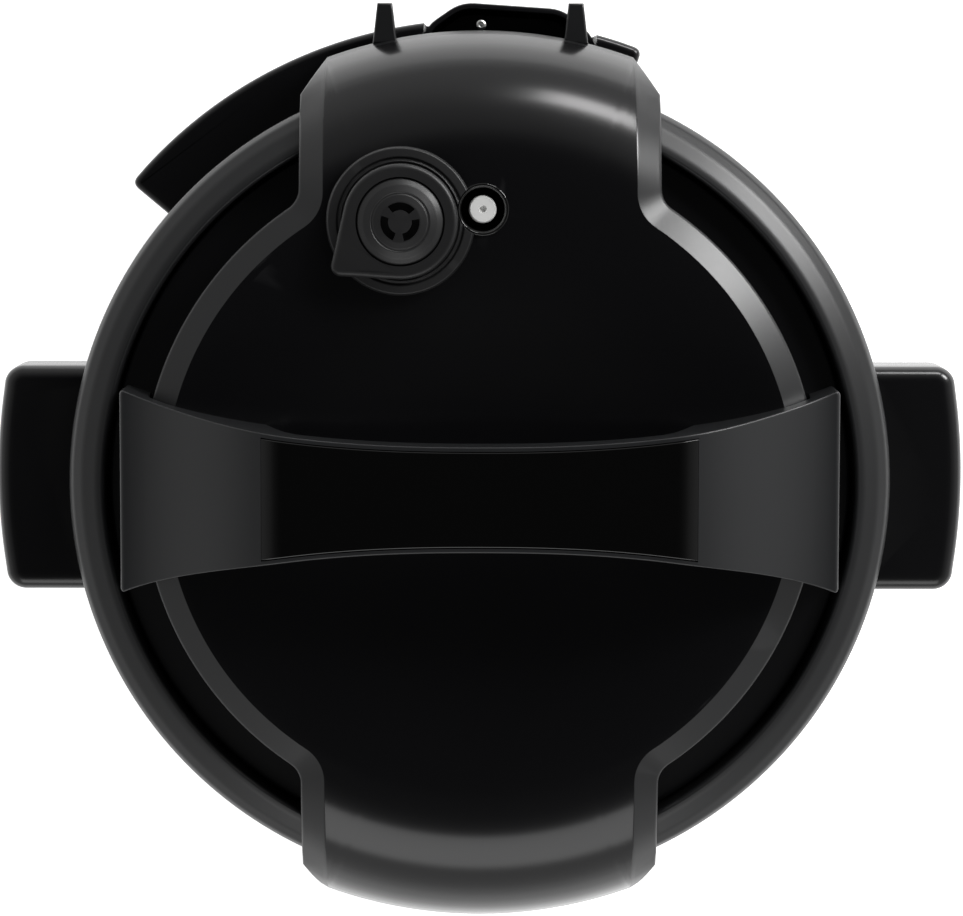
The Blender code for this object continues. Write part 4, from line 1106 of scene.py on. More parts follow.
@dataclass
class LidHandle:
    """The bridge handle across the lid, with its gloss insert.

    Attributes:
        rise: Height of its middle over the crest, in mm.
        end_rise: Height of its ends over the crest, in mm.
        thick: Thickness of the bridge, in mm.
        end_r: Radius at which its ends are cut, in mm.
        half: Half width at the middle, in mm.
        end_half: Half width at the ends, in mm.
        insert: Half length of the insert, in mm.
        inset: Rim of the handle beside the insert, in mm.
    """

    cover: LidCover
    rise: float = 32.0
    end_rise: float = 6.0
    thick: float = 14.0
    end_r: float = BRIM_R - 1.4
    half: float = 17.8
    end_half: float = 33.0
    insert: float = 73.0
    inset: float = 1.8

    def top(self, x: float) -> float:
        """Height of the handle's top at a distance along it."""
        return CREST_Z + self.end_rise + (self.rise - self.end_rise) * smooth((self.end_r - abs(x)) / 62)

    def width(self, x: float) -> float:
        """Half width at a distance along it."""
        return self.half + (self.end_half - self.half) * (abs(x) / (self.end_r - 6)) ** 2.4

    def low(self, x: float, y: float) -> float:
        """Height of the underside, which lands on the lid."""
        arch = CREST_Z + self.rise - self.thick
        under = arch + (BRIM_Z + GAP - arch) * smooth((abs(x) - 62) / 22)
        return max(under, self.cover.seat(math.hypot(x, y)) + GAP)

    def stations(self) -> list[float]:
        """Places along the handle, closer together at the insert's ends and at the landing."""
        far = self.end_r
        lip = self.insert + GAP
        half = [0, 6, 12, 18, 24, 30, 36, 42, 48, 53, 58, 62, 66, 69.5, lip - 0.02, lip, 76, 79, 82, 85, 88,
                92, 96, 100,
                104, 108, 111, 114, BAND_R - 0.3, BAND_R + 0.7, 119, 121.5, 123.5, 125, far - 1.4, far -
                0.7, far - 0.2,
                far]
        return [-x for x in half[:0:-1]] + half

    def make(self) -> None:
        """Builds the handle with its pocket, and the insert."""
        rings = []
        for x in self.stations():
            depth = 2.3 if abs(x) < self.insert + GAP - 0.01 else 0.0
            ease = max(0.0, abs(x) - (self.end_r - 1.4)) / 1.4
            pull = 1.4 * (1 - math.sqrt(max(0.0, 1 - ease * ease)))
            rings.append(self.ring(x, depth, pull))
        handle = loft("bridge_handle", rings)
        dress(handle, "lid", LOOKS.handle, "lid_handle", slot="handle_plastic", sharp=45)
        rings = []
        count = 48
        for i in range(count + 1):
            x = -self.insert + 2 * self.insert * i / count
            half, top = self.width(x) - self.inset, self.top(x)
            pinch = 0.25 if i in (0, count) else 0.0
            corners = [(-half, top - 2.0), (half, top - 2.0), (half, top + 0.12 - pinch),
                       (-half, top + 0.12 - pinch)]
            rings.append([Vector((x, y, z)) for y, z in rounded(corners, [0.2, 0.2, 0.5, 0.5], True)])
        dress(loft("handle_gloss_insert", rings), "lid", LOOKS.insert, "handle_insert", slot="gloss_trim")

    def ring(self, x: float, depth: float, pull: float) -> list[Vector]:
        """A cross-section of the handle.

        Args:
            x: Distance along the handle at its middle line.
            depth: Depth of the insert's pocket.
            pull: How far the outline is drawn in, where the end is rounded.

        Returns:
            The section's points, bent so that the ends follow the lid's round edge.
        """
        half, top = self.width(x) - pull, self.top(x) - pull
        lip = half - self.inset + GAP + pull
        low = self.low(x, 0) + pull
        corners = [(-half, low), (half, low), (half, top), (lip, top), (lip - 0.01, top - depth),
                   (-lip + 0.01, top - depth), (-lip, top), (-half, top)]
        section = rounded(corners, [1.2, 1.2, 1.6, 0, 0, 0, 0, 1.6], True)
        found = []
        for y, z in section:
            bend = math.sqrt(self.end_r**2 - y * y) / self.end_r
            across = x * (1 + (bend - 1) * (abs(x) / self.end_r) ** 3)
            found.append(Vector((across, y, z)))
        return found


@dataclass
class SteamValve:
    """Steam release valve: its base, the lever with a pull tab and the slotted diffuser on top.

    Attributes:
        base_r: Radius of the base, in mm.
        lever_r: Radius of the lever's round body, in mm.
        tip: Reach of the lever's tip, in mm.
        tip_r: Radius of the tip, in mm.
        tip_angle: Direction of the tip, in degrees from +X.
        dome_r: Radius of the diffuser, in mm.
    """

    base_r: float = 25.3
    lever_r: float = 19.6
    tip: float = 28.6
    tip_r: float = 3.4
    tip_angle: float = 217.0
    dome_r: float = 14.8

    def make(self) -> None:
        """Builds the three pieces."""
        seat = CREST_Z + 4.0
        base = turned("valve_seat", [
            (4.4, seat - 2), (18.6, seat - 2), (19.3, seat - 0.8), (20.4, seat - 0.2), (20.8, seat - 0.7),
            (21.4, seat - 0.7), (21.8, seat), (self.base_r - 0.6, seat - 0.4), (self.base_r, seat - 1.6),
            (self.base_r, CREST_Z - 7), (4.4, CREST_Z - 7)], 0.35, VALVE, 128)
        cut(base, drum(8.6, CREST_Z - 12, CREST_Z + 12, FLOAT, 72))
        dress(base, "lid", LOOKS.valve, "valve_base", slot="valve_plastic")
        low, top = seat + GAP, CREST_Z + 9.0
        lever = plate("valve_lever", self.lever_outline(), low, top, 1.6, lambda x, y,
                      z: self.domed(x, y, z, top))
        cut(lever, drum(self.dome_r + GAP, top - 3.5, top + 5, VALVE, 128),
            drum(4.3, low - 5, top - 2, VALVE, 48))
        dress(lever, "steam_lever", LOOKS.valve, "valve_handle", slot="valve_plastic")
        rise = top + 3.0
        r = self.dome_r
        dome = turned("valve_dome", [
            (0, rise), (6.9, rise - 0.35), (9.2, rise - 0.9), (9.5, rise - 1.25), (9.9, rise - 1.25),
            (10.2, rise - 1.05),
            (12.6, rise - 2.0), (r - 0.5, rise - 3.1), (r, top - 0.8), (r, top - 3.2), (0, top - 3.2)], 0.3,
                      VALVE, 128)
        slots = []
        for k in range(3):
            middle = 85 + 120 * k
            outline = arc(VALVE, 6.6, middle - 44, middle + 44, 20) + arc(VALVE, 4.0, middle + 44,
                middle - 44, 16)
            slots.append(loft("slot", [[Vector((x, y, z)) for x, y in outline] for z in (top - 1.5,
                rise + 2)]))
        cut(dome, *slots)
        dress(dome, "steam_diffuser", LOOKS.valve, "valve_diffuser", slot="valve_plastic")
        rim = turned("steam_outlet", [(1.4, seat - 1), (2.6, seat - 1), (4.0, seat - 4),
                                      (4.0, LID_PLATE_Z - GAP),
                                      (7.2, LID_PLATE_Z - GAP), (7.2, LID_PLATE_Z - 2.6),
                                      (4.0, LID_PLATE_Z - 2.6),
                                      (4.0, RIM_Z + 3.8), (1.4, RIM_Z + 3.8)], 0.3, VALVE, 64)
        dress(rim, "lid", LOOKS.screw, "steam_pipe", slot="screw_steel")

    def lever_outline(self) -> Plan:
        """Plan of the lever: its round body drawn out to a small tab."""
        spread = math.degrees(math.acos((self.lever_r - self.tip_r) / (self.tip - self.tip_r)))
        angle = self.tip_angle
        way = (math.cos(math.radians(angle)), math.sin(math.radians(angle)))
        tip = (VALVE[0] + (self.tip - self.tip_r) * way[0], VALVE[1] + (self.tip - self.tip_r) * way[1])
        return divided(arc(VALVE, self.lever_r, angle + spread, angle + 360 - spread, 90)
                       + arc(tip, self.tip_r, angle - spread, angle + spread, 14), 1.5)

    def domed(self, x: float, y: float, level: float, top: float) -> Vector:
        """Places the lever's points, with its upper face falling towards the tab."""
        way = (x - VALVE[0]) * math.cos(math.radians(self.tip_angle))
        way += (y - VALVE[1]) * math.sin(math.radians(self.tip_angle))
        fall = 1.2 * smooth((way - 16) / 12) if level > top - 3 else 0.0
        return Vector((x, y, level - fall))


@dataclass
class FloatValve:
    """The float that rises in its well under pressure, and its gasket."""

    radius: float = 4.75
    stem: float = 1.8

    def make(self) -> None:
        """Builds the float and the gasket."""
        top, low = high_of("float_valve", 2), low_of("float_valve", 2)
        pin = turned("float_pin", [
            (0, top - 1.3), (1.15, top - 1.3), (1.15, top - 0.1), (self.radius - 0.4, top),
            (self.radius, top - 0.7),
            (self.radius, top - 3.0), (self.stem, top - 3.2), (self.stem, low + 0.6), (self.stem - 0.6, low),
            (0, low)],
            0.25, FLOAT, 64)
        dress(pin, "float", LOOKS.float, "float_valve", slot="float_metal")
        gasket = turned("float_seal", [
            (self.stem + GAP, LID_PLATE_Z - 3.2), (5.2, LID_PLATE_Z - 3.2), (5.2, LID_PLATE_Z - GAP),
            (self.stem + GAP, LID_PLATE_Z - GAP)], 0.5, FLOAT, 48)
        dress(gasket, "lid", LOOKS.silicone, "float_gasket", slot="silicone")


def tooth(name: str, inner: float, outer: float, middle: float, low: float, high: float) -> bpy.types.Object:
    """One locking tooth, 28 degrees long, around the cooker's axis."""
    outline = arc((0, 0), outer, middle - 14, middle + 14, 24) + arc((0, 0), inner, middle + 14, middle - 14,
                                                                     24)
    return plate(name, outline, low, high, 0.3, upright, 0.2)


@dataclass
class LidUnderside:
    """Steel inner lid with its locking teeth, sealing ring, rack and anti-block shield."""

    teeth: int = 6

    def make(self) -> None:
        """Builds the pieces."""
        low, high, skirt_low = LID_PLATE_Z, LID_PLATE_Z + SHEET, LOCK_Z - 5.5
        inner = SKIRT_R - 1.2
        plate_piece = turned("inner_lid_plate", [
            (0, high), (40, high), (42, high + 1.2), (70, high + 1.2), (72, high), (SKIRT_R - 1, high),
            (SKIRT_R, high - 1.5), (SKIRT_R, skirt_low), (inner, skirt_low), (inner, low), (73, low),
            (71, low + 1.2), (41, low + 1.2), (39, low), (0, low)], 0.9)
        cut(plate_piece, drum(4.3, low - 4, high + 4, VALVE, 48), drum(3.4, low - 4, high + 4, FLOAT, 48))
        dress(plate_piece, "lid", LOOKS.pot, "lid_plate", slot="brushed_steel")
        teeth = tooth("inner_lid_teeth", LOCK_R + 0.4, inner + 0.5, 0, skirt_low, skirt_low + 1.2)
        REPEAT.spread(teeth, LOOKS.pot_wall, self.teeth, 60.0)
        dress(teeth, "lid", None, slot="brushed_steel")
        low, high = low_of("sealing_ring", 2), high_of("sealing_ring", 2)
        near, far = POT_R - 4.5, POT_R + 8.0
        seal = turned("silicone_seal", [
            (near, high), (far, high), (far, high - 3), (far - 5, high - 4), (far - 5, low + 3.4),
            (far - 1, low + 2.2),
            (far - 1, low), (near, low + 2)], 0.8)
        dress(seal, "lid", LOOKS.silicone, "sealing_ring", slot="silicone")
        wire = [(near - 1.9 + 1.2 * math.cos(math.radians(a)),
                 (low + high) / 2 + 1.5 * math.sin(math.radians(a)))
                for a in range(0, 360, 30)]
        dress(turned("seal_rack_wire", wire, 0.0), "lid", LOOKS.screw, "sealing_ring_rack",
              slot="screw_steel")
        floor = low_of("anti_block_shield", 2)
        shield = turned("anti_block_cap", [
            (0, floor + 1), (6.2, floor + 1), (7, floor + 1.8), (7, LID_PLATE_Z - 3), (8, LID_PLATE_Z - 3),
            (8, floor + 0.8), (7.2, floor), (0, floor)], 0.4, VALVE, 72)
        dress(shield, "lid", LOOKS.screw, "anti_block_shield", slot="screw_steel")
        # Dark oblongs on the shield paint the shade of its holes; no holes are cut.
        hole = plate("anti_block_hole_shade", oblong(1.1, 3.4, 1.05), 8.0, 8.15, 0.05,
                     lambda x, z, d: Vector((VALVE[0] + x, VALVE[1] - d + x * x / 16, floor + 7.5 + z)), 0.02)
        REPEAT.spread(hole, LOOKS.dark, 8, 45.0, centre=VALVE)
        dress(hole, "lid", None, slot="screw_steel")


# ---------------------------------------------------------------- base


@dataclass
class Body:
    """Collar, drip ledge, locking ring, steel shell, base pan and feet."""

    vents: int = 30

    def make(self) -> None:
        """Builds the pieces."""
        low = COLLAR_LOW_Z
        collar = turned("collar_ring", [
            (COLLAR_IN_R + 1.0, COLLAR_Z), (COLLAR_IN_R + 3.2, COLLAR_Z - 0.5),
            (COLLAR_R - 5, COLLAR_EDGE_Z + 3.9),
            (COLLAR_R - 1.6, COLLAR_EDGE_Z + 1.2), (COLLAR_R - 0.2, COLLAR_EDGE_Z - 1.4),
            (COLLAR_R, COLLAR_EDGE_Z - 6),
            (COLLAR_R + 0.3, low), (HOUSING_R + GAP, low), (HOUSING_R + GAP, COLLAR_EDGE_Z - 4),
            (COLLAR_IN_R + WALL, COLLAR_Z - 7), (COLLAR_IN_R + WALL, LEDGE_Z + GAP),
            (COLLAR_IN_R, LEDGE_Z + GAP),
            (COLLAR_IN_R, COLLAR_Z - 1)], 0.9)
        dress(collar, "base", LOOKS.collar, "top_collar", slot="collar_plastic")
        ledge = turned("drip_ledge", [
            (LINER_R + 3, LEDGE_Z), (COLLAR_IN_R - 1, LEDGE_Z), (COLLAR_IN_R + WALL, LEDGE_Z - 0.2),
            (COLLAR_IN_R + WALL, LEDGE_Z - 3), (LINER_R + 3, LEDGE_Z - 3)], 0.4)
        dress(ledge, "base", LOOKS.base, "collar_ledge", slot="collar_plastic")
        inner = LINER_R + 3.2
        ring = turned("locking_wall", [
            (inner, LOCK_Z), (inner + 1.2, LOCK_Z), (inner + 1.2, LEDGE_Z + GAP), (inner, LEDGE_Z + GAP)],
                      0.3)
        dress(ring, "base", LOOKS.liner, "locking_ring", slot="cast_aluminium")
        teeth = tooth("locking_teeth", inner + 0.8, LOCK_R, 30, LOCK_Z - 1.6, LOCK_Z)
        REPEAT.spread(teeth, LOOKS.liner, 6, 60.0)
        dress(teeth, "base", None, slot="cast_aluminium")
        top = high_of("housing_shell", 2)
        shell = turned("steel_shell", [
            (HOUSING_R - SHEET, top), (HOUSING_R, top), (HOUSING_R, COLLAR_LOW_Z - 2.2),
            (HOUSING_R - 0.2, PAN_TOP_Z + 5),
            (HOUSING_R, PAN_TOP_Z + 4), (HOUSING_R, PAN_TOP_Z + GAP), (HOUSING_R - SHEET, PAN_TOP_Z + GAP)],
                       0.5)
        dress(shell, "base", LOOKS.shell, "housing_shell", slot="brushed_steel")
        self.make_pan()

    def make_pan(self) -> None:
        """Builds the base pan with dark oblongs that paint the shade of its vents, its screws and the feet."""
        low, rim = low_of("base_pan", 2), HOUSING_R + 1.5
        inside = HOUSING_R - SHEET - GAP
        pan = turned("base_tray", [
            (0, low + WALL), (rim - 16, low + WALL), (rim - 5, low + 12), (inside - WALL, PAN_TOP_Z - 4),
            (inside - WALL, PAN_TOP_Z + 7), (inside, PAN_TOP_Z + 7), (inside, PAN_TOP_Z), (rim, PAN_TOP_Z),
            (rim, PAN_TOP_Z - 14), (rim - 0.6, PAN_TOP_Z - 15), (rim - 0.7, PAN_TOP_Z - 16.5),
            (rim - 3, low + 10),
            (rim - 8, low + 3), (rim - 15, low), (60, low), (59, low + 0.8), (57, low + 0.8), (56, low),
            (0, low)], 1.2)
        dress(pan, "base", LOOKS.base, "base_pan", slot="base_plastic")
        # Thin dark oblongs under the pan paint the shade of the vent slots; no slots are cut.
        vent_shade = plate("base_vent_shade", oblong(1.3, 11.0, 1.2, (0, 88)), 0, 0.25, 0.1,
                     lambda x, y, z: Vector((x, y, low - z)), 0.02)
        REPEAT.spread(vent_shade, LOOKS.dark, self.vents, 360.0 / self.vents)
        dress(vent_shade, "base", None, slot="base_plastic")
        for k in range(3):
            x, y = polar(POT_R - 42, 60 + 120 * k)
            head = turned(f"base_screw_head_{k + 1}", [
                (0, low - 1.2), (1.4, low - 1.2), (2.0, low - 2.2), (3.0, low - 2.2), (3.8, low - 1.5),
                (3.8, low - GAP),
                (1.6, low - GAP), (1.6, low + 7), (0, low + 7)], 0.2, (x, y), 40)
            dress(head, "base", LOOKS.screw, f"base_screw_{k + 1}", slot="screw_steel")
        for name, angle in (("rear_left", 45), ("front_left", 135), ("front_right", 225),
                            ("rear_right", 315)):
            foot = turned(f"rubber_foot_{name}", [
                (0, low - GAP), (10, low - GAP), (10, 5), (9.5, 4.6), (9.5, 3.8), (9.8, 3.4), (9.2, 0.9),
                (8, 0),
                (6.6, 0), (6.0, 0.6), (3.4, 0.6), (2.8, 0), (0, 0)], 0.4, polar(POT_R - 8, angle), 64)
            dress(foot, "base", LOOKS.rubber, f"foot_{name}", slot="foot_rubber")


@dataclass
class SideHandles:
    """Carrying handles at the left and the right of the base."""

    half: float = 39.6
    height: float = 26.0
    arc_r: float = 210.0
    corner: float = 7.0

    def make(self) -> None:
        """Builds both handles."""
        for side, word in ((-1, "left"), (1, "right")):
            low = HANDLE_TOP_Z - self.height
            handle = plate(f"carry_handle_{word}", self.outline(), low, HANDLE_TOP_Z, 4.6,
                           lambda x, y, z, s=side: Vector((s * x, s * y, z)), 1.2)
            x0, x1 = COLLAR_R + 3.5, HANDLE_REACH - 6
            y = self.half - 5
            hollow = block((min(side * x0, side * x1), -y, low - 5),
                           (max(side * x0, side * x1), y, HANDLE_TOP_Z - 4.8))
            cut(handle, hollow, drum(COLLAR_R + 0.6, low - 5, HANDLE_TOP_Z + 5))
            dress(handle, "base", LOOKS.housing, f"side_handle_{word}", slot="handle_plastic")
            rib = plate(f"grip_ribs_{word}", oblong(0.7, y - 6, 0.65, (COLLAR_R + 8, 0)), 0, 0.8, 0.3,
                        lambda x, y, z, s=side: Vector((s * x, s * y, HANDLE_TOP_Z - 4.8 - z)), 0.1)
            REPEAT.spread(rib, LOOKS.base, 4, 0.0, (side * 3.2, 0, 0))
            dress(rib, "base", None, slot="handle_plastic")

    def outline(self) -> Plan:
        """Plan of the right handle, anticlockwise."""
        centre_x = HANDLE_REACH - self.arc_r
        reach = math.degrees(math.asin((self.half - self.corner) / self.arc_r))
        end = arc((centre_x, 0), self.arc_r, -reach, reach, 30)
        corner = (end[-1][0] - self.corner, self.half - self.corner)
        upper = arc(corner, self.corner, reach + 4, 90, 10)
        lower = [(x, -y) for x, y in reversed(upper)]
        root = COLLAR_R - 20
        start = rounded([(root + 30, -self.half), (root, -self.half), (root, self.half),
                         (root + 30, self.half)],
                        [0, 11.0, 11.0, 0], False, 6)
        foot = [(p.x, p.y) for p in start[:0:-1]]
        return divided(lower + end[1:-1] + upper + foot, 4.0)


@dataclass
class RearHousing:
    """Housing behind the collar with the condensation cup and the mains inlet.

    Attributes:
        start: Where the housing starts, in degrees from the rear towards -X.
        end: Where it ends.
        cup_turn: Direction in which the cup pulls out, in degrees from the rear.
        cup_half: Half width of the cup, in mm.
        cup_tip: Half width of its narrowed end, in mm.
    """

    start: float = -20.8
    end: float = 50.1
    cup_turn: float = -3.85
    cup_half: float = 30.0
    cup_tip: float = 18.1

    def turned_plan(self, points: Plan) -> Plan:
        """Points turned about the cooker's axis by the cup's angle."""
        c, s = math.cos(math.radians(self.cup_turn)), math.sin(math.radians(self.cup_turn))
        return [(x * c - y * s, x * s + y * c) for x, y in points]

    def make(self) -> None:
        """Builds the housing, the cup and the inlet."""
        low, top = low_of("rear_housing", 2), high_of("rear_housing", 2)
        inner = HOUSING_R + GAP
        outer = [polar(REAR_R, self.start + (self.end - self.start) * i / 72) for i in range(73)]
        inward = [polar(inner, self.end + (self.start - self.end) * i / 72) for i in range(73)]
        ends = (0, 68, 69, 137)
        corners = [5.0 if i in ends else 0.0 for i in range(138)]
        kept = outer[:1] + outer[3:70] + outer[72:] + inward[:1] + inward[3:70] + inward[72:]
        plan = [(p.x, p.y) for p in rounded(kept, corners, True, 6)]
        shell = plate("rear_cover", plan, low, top, 2.2, upright, 1.5)
        cup_low, cup_top = low_of("condensation_cup", 2), high_of("condensation_cup", 2)
        half = self.cup_half + 0.6
        pocket_plan = self.turned_plan([(-half, inner + 2), (half, inner + 2), (half, REAR_R + 8),
                                        (-half, REAR_R + 8)])
        pocket = loft("pocket", [[Vector((x, y, z)) for x, y in pocket_plan] for z in (cup_low - 0.6,
            top + 8)])
        opening = block((low_of("mains_inlet", 0) - GAP, REAR_R - 20, low_of("mains_inlet", 2) - GAP),
                        (high_of("mains_inlet", 0) + GAP, REAR_R + 8, high_of("mains_inlet", 2) + GAP))
        cut(shell, drum(COLLAR_R + 0.6, COLLAR_LOW_Z - GAP, top + 9),
            drum(HOUSING_R + 1.8, 0, PAN_TOP_Z + GAP), pocket,
            opening)
        dress(shell, "base", LOOKS.housing, "rear_housing", slot="gloss_trim")
        rib = plate("rear_cooling_ribs", oblong(0.9, 26.0, 0.8, (0, 128)), REAR_R - 0.5, REAR_R + 0.7, 0.4,
                    lambda x, z, d: Vector((*self.spin(x, d, 27.0), z)), 0.1)
        REPEAT.spread(rib, LOOKS.housing, 11, 1.9)
        dress(rib, "base", None, slot="gloss_trim")
        self.make_cup(cup_low, cup_top)
        self.make_inlet()

    def spin(self, x: float, y: float, degrees_from_rear: float) -> tuple[float, float]:
        """A plan point turned about the cooker's axis."""
        c, s = math.cos(math.radians(degrees_from_rear)), math.sin(math.radians(degrees_from_rear))
        return x * c - y * s, x * s + y * c

    def cup_plan(self) -> Plan:
        """Outer plan of the cup, anticlockwise."""
        half, tip, near, far = self.cup_half, self.cup_tip, COLLAR_R + 2, REAR_REACH - 0.4
        corners = [(-half, near), (half, near), (half, REAR_R - 4.5), (tip, far), (-tip, far),
                   (-half, REAR_R - 4.5)]
        soft = [(p.x, p.y) for p in rounded(corners, [5.0] * 6, True, 5)]
        return divided(self.turned_plan(soft), 4.0)

    def make_cup(self, low: float, top: float) -> None:
        """Builds the condensation cup, open at its top."""
        levels = [(2.2, low), (0.7, low + 0.3), (0.1, low + 1.0), (0.0, low + 2.2), (0.0, top - 6.4),
                  (0.0, top - 6.0),
                  (-0.35, top - 5.6), (-0.35, top - 0.9), (-0.1, top - 0.2), (0.5, top), (1.3, top),
                  (1.7, top - 0.3),
                  (1.8, top - 1.2), (1.8, low + 4), (2.0, low + 2.6), (2.6, low + 1.8)]
        plan = self.cup_plan()
        rings = [[Vector((x, y, z)) for x, y in inset(plan, margin)] for margin, z in levels]
        dress(loft("drip_cup", rings), "cup", LOOKS.cup, "condensation_cup", slot="cup_plastic")
        screw = turned("ledge_screw", [(0, REAR_TOP_Z + 0.9), (0.8, REAR_TOP_Z + 0.6),
                                       (1.0, REAR_TOP_Z + 1.1),
                                       (1.7, REAR_TOP_Z + 0.7), (1.8, REAR_TOP_Z - 0.5),
                                       (0, REAR_TOP_Z - 0.5)], 0.2,
                       (0.3, REAR_R - 1.9), 32)
        dress(screw, "cup", LOOKS.screw, slot="screw_steel")

    def make_inlet(self) -> None:
        """Builds the mains inlet with its recess and three pins."""
        (x0, y0, z0), (x1, y1, z1) = [(v.x / MM, v.y / MM - AXIS_Y, v.z / MM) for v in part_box("mains_inlet")]
        middle_z = (z0 + z1) / 2
        outline = oblong((x1 - x0) / 2, (z1 - z0) / 2, 2.0)
        body = plate("inlet_socket", outline, y0, y1, 0.8, lambda x, z, d: Vector((-x, d, middle_z + z)), 0.4)
        recess = plate("recess", oblong((x1 - x0) / 2 - 2.5, (z1 - z0) / 2 - 2.5, 3.0), y1 - 14, y1 + 4, 0.1,
                       lambda x, z, d: Vector((-x, d, middle_z + z)), 0.1)
        dress(cut(body, recess), "base", LOOKS.base, "mains_inlet", slot="base_plastic")
        for k, (x, z) in enumerate(((-7, -3), (0, 3), (7, -3))):
            pin = plate(f"inlet_pin_{k + 1}", oblong(1.0, 2.0, 0.5), y1 - 14.5, y1 - 6, 0.6,
                        lambda u, v, d, x=x, z=z: Vector((x - u, d, middle_z + z + v)))
            dress(pin, "base", LOOKS.brass, slot="brass")


# ---------------------------------------------------------------- front


class Mark(Enum):
    """Plain signs printed on the buttons."""

    DOTS_1 = 1
    DOTS_2 = 2
    DOTS_3 = 3
    DOTS_4 = 4
    MINUS = "minus"
    PLUS = "plus"
    STOP = "stop"
    GO = "go"


@dataclass
class ControlPanel:
    """Front panel with its display and twelve buttons."""

    half_angle: float = 24.0
    lens_half: float = 24.0
    lens_tall: float = 20.0
    button_half: float = 9.0
    button_tall: float = 5.0

    def make(self) -> None:
        """Builds the panel, the display and the buttons."""
        low, top = low_of("control_panel", 2), high_of("control_panel", 2)
        outer = HOUSING_R + 3.3
        half_x = outer * math.sin(math.radians(self.half_angle))
        middle = (low + top) / 2
        outline = oblong(half_x, (top - low) / 2, 5.0, (0, middle), 8)
        panel = plate("front_panel", divided(outline, 2.5), HOUSING_R + GAP, outer, 1.0, on_front, 0.2)
        lens_low, lens_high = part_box("display_lens")
        lens_z = (lens_low.z + lens_high.z) / 2 / MM
        holes = [self.pad("hole", 0, lens_z, self.lens_half + GAP, self.lens_tall + GAP, 130, outer + 9, 3.3,
                          0.01)]
        for node in self.buttons():
            x, z = self.place(node)
            holes.append(self.pad("hole", x, z, self.button_half + GAP, self.button_tall + GAP, 130,
                                  outer + 9, 3.3, 0.01))
        cut(panel, *holes)
        dress(panel, "base", LOOKS.panel, "control_panel", slot="panel_gloss")
        lens = self.pad("display_window", 0, lens_z, self.lens_half, self.lens_tall, outer - 4.3, outer - 0.2,
                        3.0, 0.4)
        dress(lens, "base", LOOKS.lens, "display_lens", slot="display_glass")
        self.make_digits(lens_z, outer - 0.2)
        for node in self.buttons():
            x, z = self.place(node)
            face = outer + 0.8
            key = self.pad(f"key_{node[7:]}", x, z, self.button_half, self.button_tall, outer - 6, face, 3.0,
                           0.8)
            dress(key, node, LOOKS.button, node, slot="button_plastic")
            self.make_mark(node, self.mark(node), x, z, face)

    def buttons(self) -> list[str]:
        """The CAD nodes of the buttons, in order."""
        return sorted(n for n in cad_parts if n.startswith("button_"))

    def place(self, node: str) -> tuple[float, float]:
        """Centre of a button in the front view, in mm."""
        low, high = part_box(node)
        return (low.x + high.x) / 2 / MM, (low.z + high.z) / 2 / MM

    def mark(self, node: str) -> Mark:
        """The sign on a button."""
        word = node.rsplit("_", 1)[-1]
        named = {"minus": Mark.MINUS, "plus": Mark.PLUS, "cancel": Mark.STOP, "start": Mark.GO}
        return named[word] if word in named else Mark(int(word))

    def pad(self, name: str, x: float, z: float, half_x: float, half_z: float, near: float, far: float,
            corner: float,
            edge: float) -> bpy.types.Object:
        """A rounded pad that bulges with the front, its sides parallel to Y."""
        return plate(name, oblong(half_x, half_z, corner, (x, z)), near, far, edge, on_front, min(edge, 0.2))

    def print_shape(self, name: str, outline: Plan, face: float) -> bpy.types.Object:
        """A thin printed shape on the front at a distance from the cooker's axis."""
        return plate(name, divided(outline, 2.0), face - 0.02, face + 0.06, 0.02, on_front, 0.01)

    def make_mark(self, node: str, mark: Mark, x: float, z: float, face: float) -> None:
        """Prints a button's sign."""
        shapes: list[Plan] = []
        if isinstance(mark.value, int):
            count = mark.value
            shapes = [arc((x + (i - (count - 1) / 2) * 3.2, z), 0.8, 0, 360, 16)[:-1] for i in range(count)]
        elif mark in (Mark.MINUS, Mark.PLUS):
            shapes = [oblong(2.4, 0.45, 0.3, (x, z), 2)]
            if mark is Mark.PLUS:
                shapes += [oblong(0.45, 0.95, 0.3, (x, z + 1.45), 2),
                           oblong(0.45, 0.95, 0.3, (x, z - 1.45), 2)]
        elif mark is Mark.STOP:
            shapes = [oblong(1.9, 1.9, 0.4, (x, z), 2)]
        else:
            shapes = [[(x - 1.6, z - 2.2), (x + 2.2, z), (x - 1.6, z + 2.2)]]
        for i, outline in enumerate(shapes):
            dress(self.print_shape(f"sign_{node[7:]}_{i + 1}", outline, face), node, LOOKS.ink,
                  slot="button_plastic")

    def make_digits(self, middle: float, face: float) -> None:
        """Prints four seven-segment figures and a colon behind the display window's face."""
        long, thin = 3.1, 0.55
        strokes = ((0, 2 * long, 1), (0, 0, 1), (0, -2 * long, 1), (-long, long, 0), (long, long, 0),
                   (-long, -long, 0),
                   (long, -long, 0))
        for k, x in enumerate((-15.5, -6.3, 6.3, 15.5)):
            for i, (dx, dz, flat) in enumerate(strokes):
                size = (long - 0.7, thin) if flat else (thin, long - 0.7)
                outline = oblong(*size, thin * 0.9, (x + dx * 0.9, middle + dz), 2)
                dress(self.print_shape(f"figure_{k + 1}_{i + 1}", outline, face), "base", LOOKS.dim,
                      slot="display_glass")
        for i, dz in enumerate((-2.4, 2.4)):
            dot = arc((0, middle + dz), 0.7, 0, 360, 16)[:-1]
            dress(self.print_shape(f"colon_{i + 1}", dot, face), "base", LOOKS.dim, slot="display_glass")


# ---------------------------------------------------------------- inside


